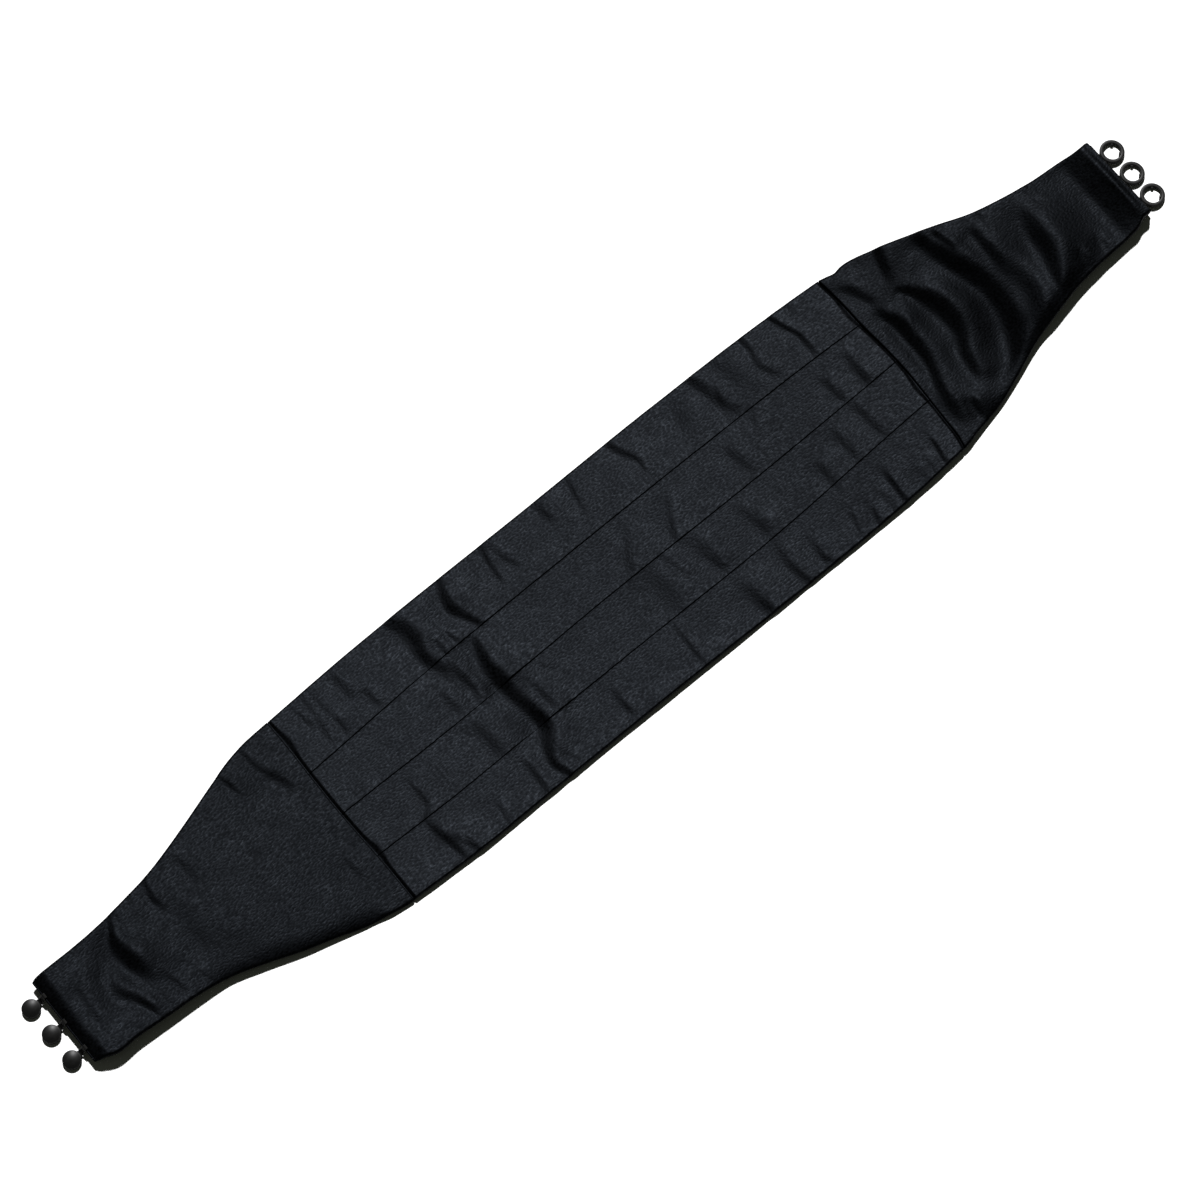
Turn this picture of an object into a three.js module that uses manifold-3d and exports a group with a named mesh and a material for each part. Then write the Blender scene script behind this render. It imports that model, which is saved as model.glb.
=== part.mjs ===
// A pleated evening waist sash lying flat: a front with stepped pleats, a shaped tail sewn over each of
// its ends, and a row of moulded studs and a row of moulded rings that fasten the two tails at the back.
// Millimetres. X runs from the stud end to the ring end, Y runs up the front as it is worn, and Z is up.

import * as THREE from "three";
import { mergeVertices } from "three/addons/utils/BufferGeometryUtils.js";
import Module from "manifold-3d";

const wasm = await Module();
wasm.setup();

// Clearance
const GAP = 0.3; // between two pieces that touch on the real sash

// Front
const FRONT_LENGTH = 419; // from one seam to the other
const FRONT_DEPTH = 141.5; // from the top edge to the bottom edge where it is deepest
const SEAM_DEPTH = 134; // the same at the seams
const FRONT_THICKNESS = 2.8; // at the folded edge of a pleat
const PLEAT_STEP = 0.9; // from a folded edge down to the next pleat
const PLEAT_OPENING = 0.35; // height of the slit under a folded edge
const PLEAT_OVERLAP = 4; // how far that slit runs in
const FRONT_EDGE_ROUND = 1.4; // how far the rounded top and bottom edges reach in
const FRONT_FOLD_WIDTH = 8; // of a usual soft fold
const FRONT_FOLD_HEIGHT = 0.6;
const FRONT_STEP = 11; // between two sections of the front

// Seams
const TUCK_LENGTH = 12; // how far the front's end runs into a tail
const TAIL_PLY = 0.7; // one layer of a tail, over and under the tucked end
const TUCK_EDGE_WALL = 1.2; // closed edge of a tail beside the tucked end
const SEAM_GROOVE_DEPTH = 0.8; // how far the front sinks where it runs in
const SEAM_GROOVE_WIDTH = 2.2;
const SEAM_SHOULDER = 0.3; // length of the step from the front down to its tucked end
const RING_SEAM_LIFT = 2; // underside above the ground at the seam of the ring tail
const FRONT_FLAT_SHARE = 0.72; // share of the front, from the stud seam, that lies on the ground

// Tails
const STUD_TAIL_LENGTH = 194.3;
const RING_TAIL_LENGTH = 179.4;
const STUD_END_DEPTH = 63;
const RING_END_DEPTH = 61;
const TAIL_THICKNESS = 3;
const TAIL_EDGE_ROUND = 1.5;
const STUD_END_LIFT = 4.2; // underside above the ground at the stud end
const RING_END_LIFT = 3.2; // the same at the ring end
const TAIL_FOLD_WIDTH = 8;
const TAIL_FOLD_HEIGHT = 1.6;
const TAIL_FOLD_FADE = 8; // over which the folds die out toward the seam and the end
const TAIL_STEP = 7; // between two sections of a tail
const TAIL_COLUMNS = 12; // strips across a tail
const TAIL_END_ROUND = 1.2; // length of the rounded end edge
const TAIL_END_SHARE = 0.76; // share of the thickness that is left at the end edge

// Studs and rings
const FASTENER_COUNT = 3;
const ANCHOR_LENGTH = 6; // of the strap or tab that is sewn into a tail's end
const STUD_PITCH = 18.7;
const STUD_ROW_SHIFT = 1.3; // the row's middle above the X axis
const STUD_CAP_DIAMETER = 10.8;
const STUD_BASE_DIAMETER = 11;
const STUD_GROOVE_DIAMETER = 9.6;
const STUD_BASE_HEIGHT = 0.8;
const STUD_GROOVE_HEIGHT = 0.5;
const STUD_RIM_HEIGHT = 0.6; // straight rim of the cap
const STUD_DOME_HEIGHT = 0.9;
const STUD_DISTANCE = 9.3; // from the tail's end to a stud's axis
const STUD_SIDES = 24;
const STRAP_WIDTH = 3.2;
const STRAP_THICKNESS = 1;
const STRAP_LEVEL_LENGTH = 0.6; // of the strap outside the tail before it slopes down
const RING_PITCH = 18;
const RING_ROW_SHIFT = 0.6;
const RING_DIAMETER = 15;
const RING_HOLE_DIAMETER = 11.3;
const RING_THICKNESS = 2;
const RING_BEVEL = 0.4;
const RING_STANDOFF = 0.8; // from the tail's end to the ring's rim
const RING_SIDES = 28;
const TAB_WIDTH = 9;
const TAB_THICKNESS = 1;
const TOOTH_WIDTH = 1.5;
const TOOTH_LENGTH = 1;
const TOOTH_HEIGHT = 1.2;
const TOOTH_ANGLES = [50, -50]; // degrees from the side that is away from the tail

// Outline of the front. along: share of its length from the stud seam. top and bottom: share of the way
// from half the seam depth to half the front depth.
const FRONT_OUTLINE = [
  { along: 0, top: -0.48, bottom: 0.53 },
  { along: 0.13, top: 0.21, bottom: 1.1 },
  { along: 0.22, top: 0.48, bottom: 0.98 },
  { along: 0.46, top: 0.77, bottom: 0.88 },
  { along: 0.7, top: 1.12, bottom: 0.98 },
  { along: 0.82, top: 0.99, bottom: 0.85 },
  { along: 0.9, top: 0.74, bottom: 0.56 },
  { along: 1, top: 0.21, bottom: -0.21 },
];

// Folded edges of the pleats. along: as above. The others: share of the depth, from the top edge.
const PLEAT_EDGES = [
  { along: 0, first: 0.293, second: 0.518, third: 0.753 },
  { along: 0.22, first: 0.2746, second: 0.5254, third: 0.755 },
  { along: 0.46, first: 0.267, second: 0.5125, third: 0.755 },
  { along: 0.7, first: 0.268, second: 0.514, third: 0.753 },
  { along: 0.92, first: 0.2706, second: 0.508, third: 0.732 },
  { along: 1, first: 0.275, second: 0.506, third: 0.732 },
];

// Section of one pleat. across: share of its depth from its upper edge. rise: share of the pleat step.
const PLEAT_SECTION = [
  { across: 0, rise: 0 },
  { across: 0.35, rise: 0.3 },
  { across: 0.7, rise: 0.72 },
  { across: 0.95, rise: 0.98 },
  { across: 0.988, rise: 1 },
];

// Rounded edge of a cloth piece. inset: share of the edge's rounding. rise: share of the thickness there.
const EDGE_SECTION = [
  { inset: 0, rise: 0.5 },
  { inset: 0.28, rise: 0.86 },
  { inset: 1, rise: 1 },
];

// Outlines of the tails. along: share of the length from the seam. top and bottom: share of the way from
// half the end depth to half the seam depth.
const STUD_TAIL_OUTLINE = [
  { along: 0, top: 0.95, bottom: 1.056 },
  { along: 0.03, top: 0.94, bottom: 1.03 },
  { along: 0.15, top: 0.86, bottom: 0.91 },
  { along: 0.24, top: 0.7, bottom: 0.75 },
  { along: 0.34, top: 0.52, bottom: 0.58 },
  { along: 0.44, top: 0.345, bottom: 0.375 },
  { along: 0.55, top: 0.185, bottom: 0.18 },
  { along: 0.65, top: 0.1, bottom: 0.097 },
  { along: 0.75, top: 0.03, bottom: 0.06 },
  { along: 0.86, top: 0, bottom: 0.015 },
  { along: 0.94, top: 0, bottom: 0.004 },
  { along: 0.965, top: 0, bottom: -0.06 },
  { along: 1, top: -0.03, bottom: -0.11 },
];
const RING_TAIL_OUTLINE = [
  { along: 0, top: 1.02, bottom: 0.975 },
  { along: 0.053, top: 0.95, bottom: 0.91 },
  { along: 0.08, top: 0.98, bottom: 0.88 },
  { along: 0.187, top: 0.86, bottom: 0.757 },
  { along: 0.27, top: 0.72, bottom: 0.61 },
  { along: 0.41, top: 0.475, bottom: 0.348 },
  { along: 0.52, top: 0.28, bottom: 0.214 },
  { along: 0.63, top: 0.167, bottom: 0.093 },
  { along: 0.742, top: 0.093, bottom: 0.027 },
  { along: 0.88, top: 0.052, bottom: -0.018 },
  { along: 0.926, top: 0.025, bottom: -0.05 },
  { along: 0.955, top: 0.02, bottom: -0.12 },
  { along: 0.988, top: 0.016, bottom: -0.126 },
  { along: 1, top: -0.047, bottom: -0.17 },
];

// Height of a tail's underside. along: share of the free length between the tucked end and the sewn-in
// straps. rise: share of the way from the lift at the seam to the lift at the end.
const STUD_TAIL_RISE = [
  { along: 0, rise: 0 },
  { along: 0.22, rise: 0.4 },
  { along: 0.5, rise: 0.78 },
  { along: 0.75, rise: 1.05 },
  { along: 0.93, rise: 1.12 },
  { along: 1, rise: 1 },
];
const RING_TAIL_RISE = [
  { along: 0, rise: 0 },
  { along: 0.35, rise: 0.35 },
  { along: 0.62, rise: 1.4 },
  { along: 0.82, rise: 1.9 },
  { along: 1, rise: 1 },
];

// Soft folds. along: share of the piece's length, from the stud seam on the front and from its own seam
// on a tail. across: share of half the seam depth, 1 at the top edge. reach: half its length, as the same
// share. lean: run along the length for each step up. width and height: shares of the usual fold, with a
// negative height for a valley.
const FRONT_FOLDS = [
  { along: 0.231, across: 0.75, reach: 0.3, lean: -0.05, width: 0.7, height: 0.8 },
  { along: 0.3, across: 0.72, reach: 0.3, lean: -0.1, width: 0.6, height: -1 },
  { along: 0.272, across: 0.1, reach: 0.42, lean: -0.04, width: 1, height: -1.2 },
  { along: 0.285, across: -0.42, reach: 0.3, lean: -0.1, width: 1.2, height: -1.2 },
  { along: 0.27, across: -0.85, reach: 0.28, lean: 0.35, width: 0.9, height: -1 },
  { along: 0.538, across: 0.95, reach: 0.25, lean: 0.2, width: 0.7, height: -0.8 },
  { along: 0.63, across: 0.9, reach: 0.22, lean: -0.3, width: 0.8, height: -0.7 },
  { along: 0.762, across: 0.85, reach: 0.32, lean: -0.15, width: 1.3, height: -1 },
  { along: 0.916, across: 0.85, reach: 0.3, lean: -0.1, width: 0.7, height: 0.9 },
  { along: 0.09, across: -0.85, reach: 0.25, lean: -0.1, width: 0.6, height: -1 },
  { along: 0.7, across: -0.8, reach: 0.25, lean: 0, width: 0.9, height: -0.7 },
  { along: 0.885, across: -0.88, reach: 0.2, lean: 0.15, width: 0.6, height: -1 },
];
const STUD_TAIL_FOLDS = [
  { along: 0.71, across: 0.25, reach: 0.45, lean: 0.1, width: 1.2, height: 0.6 },
  { along: 0.78, across: 0, reach: 0.4, lean: 0.12, width: 1.3, height: -0.6 },
  { along: 0.55, across: 0.5, reach: 0.35, lean: 0.1, width: 1.4, height: 0.5 },
  { along: 0.9, across: 0.1, reach: 0.5, lean: 0, width: 1.2, height: 0.5 },
];
const RING_TAIL_FOLDS = [
  { along: 0.12, across: 0.05, reach: 0.5, lean: 0.06, width: 0.9, height: 0.5 },
  { along: 0.26, across: 0.1, reach: 0.5, lean: 0, width: 1.1, height: 0.8 },
  { along: 0.345, across: 0, reach: 0.45, lean: 0.1, width: 1, height: -0.7 },
  { along: 0.47, across: 0.05, reach: 0.55, lean: 0.05, width: 1.4, height: 1.2 },
  { along: 0.59, across: -0.05, reach: 0.4, lean: 0.1, width: 1.1, height: -0.5 },
  { along: 0.68, across: -0.05, reach: 0.4, lean: 0.15, width: 1.1, height: 0.8 },
  { along: 0.84, across: -0.05, reach: 0.4, lean: 0, width: 1.3, height: -0.8 },
];

const satin = () => new THREE.MeshStandardMaterial({ color: 0x24272b, roughness: 0.5, metalness: 0 });
const plastic = () => new THREE.MeshStandardMaterial({ color: 0x0b0b0c, roughness: 0.22, metalness: 0 });

const { lerp, clamp, smoothstep, degToRad } = THREE.MathUtils;

// The value of one column of a table at a place between its rows.
function columnAt(table, along, column) {
  const place = clamp(along, 0, 1);
  const after = Math.max(1, table.findIndex((row) => row.along >= place));
  const [from, to] = [table[after - 1], table[after]];
  return lerp(from[column], to[column], (place - from.along) / (to.along - from.along));
}

// Height that a table of soft folds adds at a place on a cloth piece.
function foldHeight(folds, along, y, length, width, height) {
  const half = SEAM_DEPTH / 2;
  let total = 0;
  for (const fold of folds) {
    const up = y - fold.across * half;
    const aside = ((along - fold.along) * length - fold.lean * up) / (fold.width * width);
    const beyond = up / (fold.reach * half);
    total += fold.height * height * Math.exp(-(aside ** 2) - beyond ** 4);
  }
  return total;
}

// Places from one value to another, no further apart than a step.
function placesBetween(from, to, step) {
  const count = Math.max(1, Math.ceil(Math.abs(to - from) / step));
  return Array.from({ length: count + 1 }, (_, i) => lerp(from, to, i / count));
}

// A closed solid through sections along X. Each section runs from the top edge over the upper side to the
// bottom edge, and back under the lower side.
function loft(sections) {
  const count = sections[0].length;
  const index = [];
  for (let s = 0; s + 1 < sections.length; s++) {
    for (let i = 0; i < count; i++) {
      const near = s * count + i;
      const beside = s * count + ((i + 1) % count);
      index.push(near, beside, near + count, beside, beside + count, near + count);
    }
  }
  const last = (sections.length - 1) * count;
  for (const [start, section, turned] of [[0, sections[0], true], [last, sections.at(-1), false]]) {
    const outline = section.map((p) => new THREE.Vector2(p.y, p.z));
    for (const [a, b, c] of THREE.ShapeUtils.triangulateShape(outline, [])) {
      index.push(...(turned ? [start + a, start + c, start + b] : [start + a, start + b, start + c]));
    }
  }
  const geometry = new THREE.BufferGeometry();
  const points = sections.flat().flatMap((p) => [...p]);
  geometry.setAttribute("position", new THREE.Float32BufferAttribute(points, 3));
  geometry.setIndex(index);
  return geometry;
}

// Solid joins and cuts
function toSolid(geometry) {
  const bare = geometry.clone();
  bare.deleteAttribute("normal");
  bare.deleteAttribute("uv");
  const merged = mergeVertices(bare, 1e-5);
  const vertProperties = new Float32Array(merged.attributes.position.array);
  const triVerts = new Uint32Array(merged.index.array);
  return new wasm.Manifold(new wasm.Mesh({ numProp: 3, vertProperties, triVerts }));
}

function toGeometry(solid) {
  const mesh = solid.getMesh();
  const geometry = new THREE.BufferGeometry();
  geometry.setAttribute("position", new THREE.BufferAttribute(mesh.vertProperties, mesh.numProp));
  geometry.setIndex(new THREE.BufferAttribute(mesh.triVerts, 1));
  return geometry;
}

function joined(...geometries) {
  return toGeometry(geometries.map(toSolid).reduce((all, next) => all.add(next)));
}

function cut(geometry, ...tools) {
  return toGeometry(tools.map(toSolid).reduce((left, tool) => left.subtract(tool), toSolid(geometry)));
}

function namedMesh(name, geometry, material) {
  const mesh = new THREE.Mesh(geometry, material);
  mesh.name = name;
  return mesh;
}

// A side view of points [x, z], as wide as asked across Y and centred on it.
function sideExtrusion(points, width) {
  const shape = new THREE.Shape(points.map(([x, z]) => new THREE.Vector2(x, z)));
  const geometry = new THREE.ExtrudeGeometry(shape, { depth: width, bevelEnabled: false });
  return geometry.rotateX(Math.PI / 2).translate(0, width / 2, 0);
}

// The two tails. side: -1 for the tail at the start of the X axis and 1 for the other.
const STUD_TAIL = {
  side: -1,
  length: STUD_TAIL_LENGTH,
  endDepth: STUD_END_DEPTH,
  outline: STUD_TAIL_OUTLINE,
  rise: STUD_TAIL_RISE,
  seamLift: 0,
  endLift: STUD_END_LIFT,
  folds: STUD_TAIL_FOLDS,
};
const RING_TAIL = {
  side: 1,
  length: RING_TAIL_LENGTH,
  endDepth: RING_END_DEPTH,
  outline: RING_TAIL_OUTLINE,
  rise: RING_TAIL_RISE,
  seamLift: RING_SEAM_LIFT,
  endLift: RING_END_LIFT,
  folds: RING_TAIL_FOLDS,
};

// Lengths at each end of a tail that stay level, for the tucked end and for the sewn-in straps
const LEVEL_AT_SEAM = TUCK_LENGTH + GAP + TAIL_PLY;
const LEVEL_AT_END = ANCHOR_LENGTH + GAP + TAIL_PLY;

// X of a place on a tail, at a distance out from its seam.
const tailX = (tail, distance) => tail.side * (FRONT_LENGTH / 2 + distance);

function tailEdges(tail, distance) {
  const along = distance / tail.length;
  const [endHalf, seamHalf] = [tail.endDepth / 2, SEAM_DEPTH / 2];
  return {
    top: lerp(endHalf, seamHalf, columnAt(tail.outline, along, "top")),
    bottom: -lerp(endHalf, seamHalf, columnAt(tail.outline, along, "bottom")),
  };
}

function tailLift(tail, distance) {
  const free = (distance - LEVEL_AT_SEAM) / (tail.length - LEVEL_AT_SEAM - LEVEL_AT_END);
  return lerp(tail.seamLift, tail.endLift, columnAt(tail.rise, free, "rise"));
}

function tailFold(tail, distance, y) {
  const fromSeam = smoothstep(distance, LEVEL_AT_SEAM, LEVEL_AT_SEAM + TAIL_FOLD_FADE);
  const levelEnd = tail.length - LEVEL_AT_END;
  const fromEnd = 1 - smoothstep(distance, levelEnd - TAIL_FOLD_FADE, levelEnd);
  const along = distance / tail.length;
  const height = foldHeight(tail.folds, along, y, tail.length, TAIL_FOLD_WIDTH, TAIL_FOLD_HEIGHT);
  return height * fromSeam * fromEnd;
}

// Share of the thickness at a distance out, which shrinks over the rounded end edge.
function tailShare(tail, distance) {
  const into = clamp(1 - (tail.length - distance) / TAIL_END_ROUND, 0, 1);
  return 1 - (1 - TAIL_END_SHARE) * into ** 2;
}

function tailSection(tail, distance) {
  const { top, bottom } = tailEdges(tail, distance);
  const innerWidth = top - bottom - 2 * TAIL_EDGE_ROUND;
  const strips = Array.from({ length: TAIL_COLUMNS - 1 }, (_, i) => (i + 1) / TAIL_COLUMNS);
  const columns = [
    ...EDGE_SECTION.map(({ inset, rise }) => ({ y: top - inset * TAIL_EDGE_ROUND, rise })),
    ...strips.map((share) => ({ y: top - TAIL_EDGE_ROUND - share * innerWidth, rise: 1 })),
    ...EDGE_SECTION.toReversed().map(({ inset, rise }) => ({ y: bottom + inset * TAIL_EDGE_ROUND, rise })),
  ];
  const share = tailShare(tail, distance);
  const point = (y, rise) => {
    const level = tailLift(tail, distance) + TAIL_THICKNESS * lerp(0.5, rise, share);
    return new THREE.Vector3(tailX(tail, distance), y, level + tailFold(tail, distance, y));
  };
  const upper = columns.map(({ y, rise }) => point(y, rise));
  const lower = columns.slice(1, -1).toReversed().map(({ y, rise }) => point(y, 1 - rise));
  return [...upper, ...lower];
}

// The pocket in a tail's seam end that holds the front's tucked end.
function tuckPocket(tail) {
  const low = tail.seamLift + TAIL_PLY;
  const high = tail.seamLift + TAIL_THICKNESS - TAIL_PLY;
  const sections = placesBetween(-GAP, TUCK_LENGTH + GAP, TUCK_LENGTH / 4).map((distance) => {
    const { top, bottom } = tailEdges(tail, distance);
    const corners = [[top - TUCK_EDGE_WALL, high], [bottom + TUCK_EDGE_WALL, high]];
    corners.push([bottom + TUCK_EDGE_WALL, low], [top - TUCK_EDGE_WALL, low]);
    return corners.map(([y, z]) => new THREE.Vector3(tailX(tail, distance), y, z));
  });
  return loft(tail.side < 0 ? sections.toReversed() : sections);
}

// Middle height of the pocket at a tail's free end.
const anchorHeight = (tail) => tail.endLift + TAIL_THICKNESS / 2;

// The pockets in a tail's free end that hold the straps or tabs of its fasteners.
function anchorPockets(tail, row, width, thickness) {
  const length = ANCHOR_LENGTH + 2 * GAP;
  return row.map((y) => {
    const pocket = new THREE.BoxGeometry(length, width + 2 * GAP, thickness + 2 * GAP);
    return pocket.translate(tailX(tail, tail.length + GAP - length / 2), y, anchorHeight(tail));
  });
}

function tailGeometry(tail, pockets) {
  const distances = [
    ...placesBetween(0, LEVEL_AT_SEAM, TAIL_STEP),
    ...placesBetween(LEVEL_AT_SEAM, tail.length - LEVEL_AT_END, TAIL_STEP).slice(1),
    tail.length - TAIL_END_ROUND,
    tail.length - TAIL_END_ROUND / 3,
    tail.length,
  ];
  const sections = distances.map((distance) => tailSection(tail, distance));
  return cut(loft(tail.side < 0 ? sections.toReversed() : sections), tuckPocket(tail), ...pockets);
}

// The front
const TUCK_THICKNESS = TAIL_THICKNESS - 2 * (TAIL_PLY + GAP);

function frontEdges(along) {
  const [seamHalf, midHalf] = [SEAM_DEPTH / 2, FRONT_DEPTH / 2];
  return {
    top: lerp(seamHalf, midHalf, columnAt(FRONT_OUTLINE, along, "top")),
    bottom: -lerp(seamHalf, midHalf, columnAt(FRONT_OUTLINE, along, "bottom")),
  };
}

function frontLift(along) {
  const share = smoothstep(along, FRONT_FLAT_SHARE, 1);
  return RING_SEAM_LIFT * share;
}

// Points of the front's section, with y across it and z from its underside.
function frontProfile(along) {
  const { top, bottom } = frontEdges(along);
  const shares = ["first", "second", "third"].map((name) => columnAt(PLEAT_EDGES, along, name));
  const folds = shares.map((share) => lerp(top, bottom, share));
  const low = FRONT_THICKNESS - PLEAT_STEP;
  const lipUnder = low + PLEAT_OPENING;
  const pleatTops = [top - FRONT_EDGE_ROUND, ...folds];
  const pleatEnds = [...folds, bottom + FRONT_EDGE_ROUND];
  const edge = EDGE_SECTION.slice(0, -1);
  const points = edge.map(({ inset, rise }) => [top - inset * FRONT_EDGE_ROUND, rise * low]);
  pleatTops.forEach((start, pleat) => {
    const end = pleatEnds[pleat];
    for (const { across, rise } of PLEAT_SECTION) {
      points.push([lerp(start, end, across), low + rise * PLEAT_STEP]);
    }
    if (pleat === folds.length) return;
    points.push([end, (lipUnder + FRONT_THICKNESS) / 2], [end + PLEAT_OPENING, lipUnder]);
    points.push([end + PLEAT_OVERLAP, lipUnder], [end + PLEAT_OVERLAP, low]);
  });
  for (const { inset, rise } of edge.toReversed()) {
    points.push([bottom + inset * FRONT_EDGE_ROUND, rise * FRONT_THICKNESS]);
  }
  points.push([bottom + FRONT_EDGE_ROUND, 0], [0, 0], [top - FRONT_EDGE_ROUND, 0]);
  return points;
}

// How high the front stands at a place, as a share of its plain height: the seam grooves and soft folds.
function frontShare(along, y) {
  const fromSeam = Math.min(along, 1 - along) * FRONT_LENGTH - GAP - SEAM_SHOULDER;
  const groove = 1 - smoothstep(fromSeam, 0, SEAM_GROOVE_WIDTH);
  const fold = foldHeight(FRONT_FOLDS, along, y, FRONT_LENGTH, FRONT_FOLD_WIDTH, FRONT_FOLD_HEIGHT);
  return 1 + (fold * (1 - groove) - SEAM_GROOVE_DEPTH * groove) / FRONT_THICKNESS;
}

function frontSection(along) {
  const x = (along - 0.5) * FRONT_LENGTH;
  const lift = frontLift(along);
  return frontProfile(along).map(([y, z]) => new THREE.Vector3(x, y, lift + z * frontShare(along, y)));
}

// A section of the front's thin tucked end, at a distance into a tail.
function tuckSection(tail, distance) {
  const along = tail.side < 0 ? 0 : 1;
  const outer = frontEdges(along);
  const { top, bottom } = tailEdges(tail, Math.max(0, distance));
  const margin = TUCK_EDGE_WALL + GAP;
  const low = tail.seamLift + TAIL_PLY + GAP;
  return frontProfile(along).map(([y, z]) => {
    const across = (outer.top - y) / (outer.top - outer.bottom);
    const height = low + (z / FRONT_THICKNESS) * TUCK_THICKNESS;
    return new THREE.Vector3(tailX(tail, distance), lerp(top - margin, bottom + margin, across), height);
  });
}

function frontGeometry() {
  const shoulder = (GAP + SEAM_SHOULDER) / FRONT_LENGTH;
  const groove = shoulder + SEAM_GROOVE_WIDTH / FRONT_LENGTH;
  const even = placesBetween(groove, 1 - groove, FRONT_STEP / FRONT_LENGTH);
  const onFolds = FRONT_FOLDS.map((fold) => fold.along);
  const clear = (0.3 * FRONT_STEP) / FRONT_LENGTH;
  const between = even.filter((place) => onFolds.every((fold) => Math.abs(fold - place) > clear));
  const places = [shoulder, ...between, ...onFolds, 1 - shoulder];
  const sections = [...new Set(places)].sort((a, b) => a - b).map(frontSection);
  const tuckPlaces = placesBetween(-GAP, TUCK_LENGTH, TUCK_LENGTH / 4);
  const startTuck = tuckPlaces.toReversed().map((distance) => tuckSection(STUD_TAIL, distance));
  const endTuck = tuckPlaces.map((distance) => tuckSection(RING_TAIL, distance));
  return loft([...startTuck, ...sections, ...endTuck]);
}

// Studs
function studProfile() {
  const base = STUD_BASE_DIAMETER / 2;
  const grooveRadius = STUD_GROOVE_DIAMETER / 2;
  const cap = STUD_CAP_DIAMETER / 2;
  const capUnder = STUD_BASE_HEIGHT + STUD_GROOVE_HEIGHT;
  const rimTop = capUnder + STUD_RIM_HEIGHT;
  const dome = [0.35, 0.65, 0.9].map((turn) => {
    const angle = (turn * Math.PI) / 2;
    return [cap * Math.cos(angle), rimTop + STUD_DOME_HEIGHT * Math.sin(angle)];
  });
  const rims = [[0, 0], [base - GAP, 0], [base, GAP], [base, STUD_BASE_HEIGHT]];
  rims.push([grooveRadius, STUD_BASE_HEIGHT], [grooveRadius, capUnder], [cap, capUnder], [cap, rimTop]);
  const points = [...rims, ...dome, [0, rimTop + STUD_DOME_HEIGHT]];
  return points.map(([radius, height]) => new THREE.Vector2(radius, height));
}

// One stud with the strap that rises from it into the tail's end, which is at x = 0.
function studGeometry() {
  const button = new THREE.LatheGeometry(studProfile(), STUD_SIDES);
  button.rotateX(Math.PI / 2).translate(-STUD_DISTANCE, 0, 0);
  const [half, high] = [STRAP_THICKNESS / 2, anchorHeight(STUD_TAIL)];
  const low = STUD_BASE_HEIGHT + STUD_GROOVE_HEIGHT / 2;
  const foot = -STUD_DISTANCE + STUD_BASE_DIAMETER / 2 + GAP;
  const middle = [[ANCHOR_LENGTH, high], [-STRAP_LEVEL_LENGTH, high], [foot, low], [-STUD_DISTANCE, low]];
  const upper = middle.map(([x, z]) => [x, z + half]);
  const lower = middle.toReversed().map(([x, z]) => [x, z - half]);
  return joined(button, sideExtrusion([...upper, ...lower], STRAP_WIDTH));
}

// Rings
function ringProfile() {
  const [inner, outer] = [RING_HOLE_DIAMETER / 2, RING_DIAMETER / 2];
  const half = RING_THICKNESS / 2;
  const points = [[inner, -half + RING_BEVEL], [inner + RING_BEVEL, -half], [outer - RING_BEVEL, -half]];
  points.push([outer, -half + RING_BEVEL], [outer, half - RING_BEVEL], [outer - RING_BEVEL, half]);
  points.push([inner + RING_BEVEL, half], [inner, half - RING_BEVEL], points[0]);
  return points.map(([radius, height]) => new THREE.Vector2(radius, height));
}

function ringTooth(degrees) {
  const inner = RING_HOLE_DIAMETER / 2;
  const bite = (RING_DIAMETER / 2 - inner) / 2;
  const tooth = new THREE.BoxGeometry(TOOTH_LENGTH + bite, TOOTH_WIDTH, TOOTH_HEIGHT);
  return tooth.translate(inner + (bite - TOOTH_LENGTH) / 2, 0, 0).rotateZ(degToRad(degrees));
}

// One ring with the tab that holds it in the tail's end, which is at x = 0. The far side of the ring
// lies on the ground, so its tilt follows from the height of the tab.
function ringGeometry() {
  const hoop = new THREE.LatheGeometry(ringProfile(), RING_SIDES).rotateX(Math.PI / 2);
  const high = anchorHeight(RING_TAIL);
  const radius = RING_DIAMETER / 2;
  const footRadius = radius - RING_BEVEL;
  const tilt = Math.asin((high - RING_THICKNESS / 2) / (radius + footRadius));
  const centre = new THREE.Matrix4().makeTranslation(
    RING_STANDOFF + radius * Math.cos(tilt),
    0,
    (RING_THICKNESS / 2) * Math.cos(tilt) + footRadius * Math.sin(tilt),
  );
  const placed = [hoop, ...TOOTH_ANGLES.map(ringTooth)].map((g) => g.rotateY(tilt).applyMatrix4(centre));
  const rim = (RING_DIAMETER - RING_HOLE_DIAMETER) / 2;
  const [from, to] = [-ANCHOR_LENGTH, RING_STANDOFF + 0.9 * rim];
  const [low, top] = [high - TAB_THICKNESS / 2, high + TAB_THICKNESS / 2];
  const tab = sideExtrusion([[from, low], [to, low], [to, top], [from, top]], TAB_WIDTH);
  return joined(...placed, tab);
}

// Middles of a row of fasteners across a tail's end, from the top down
function rowPlaces(pitch, shift) {
  return Array.from({ length: FASTENER_COUNT }, (_, i) => shift + ((FASTENER_COUNT - 1) / 2 - i) * pitch);
}

function fastenerRow(name, tail, row, makeGeometry) {
  const group = new THREE.Group();
  group.position.x = tailX(tail, tail.length);
  row.forEach((y, i) => {
    const fastener = namedMesh(`${name}_${i + 1}`, makeGeometry(), plastic());
    fastener.position.y = y;
    group.add(fastener);
  });
  return group;
}

const studRow = rowPlaces(STUD_PITCH, STUD_ROW_SHIFT);
const ringRow = rowPlaces(RING_PITCH, RING_ROW_SHIFT);
const studPockets = anchorPockets(STUD_TAIL, studRow, STRAP_WIDTH, STRAP_THICKNESS);
const ringPockets = anchorPockets(RING_TAIL, ringRow, TAB_WIDTH, TAB_THICKNESS);

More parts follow.
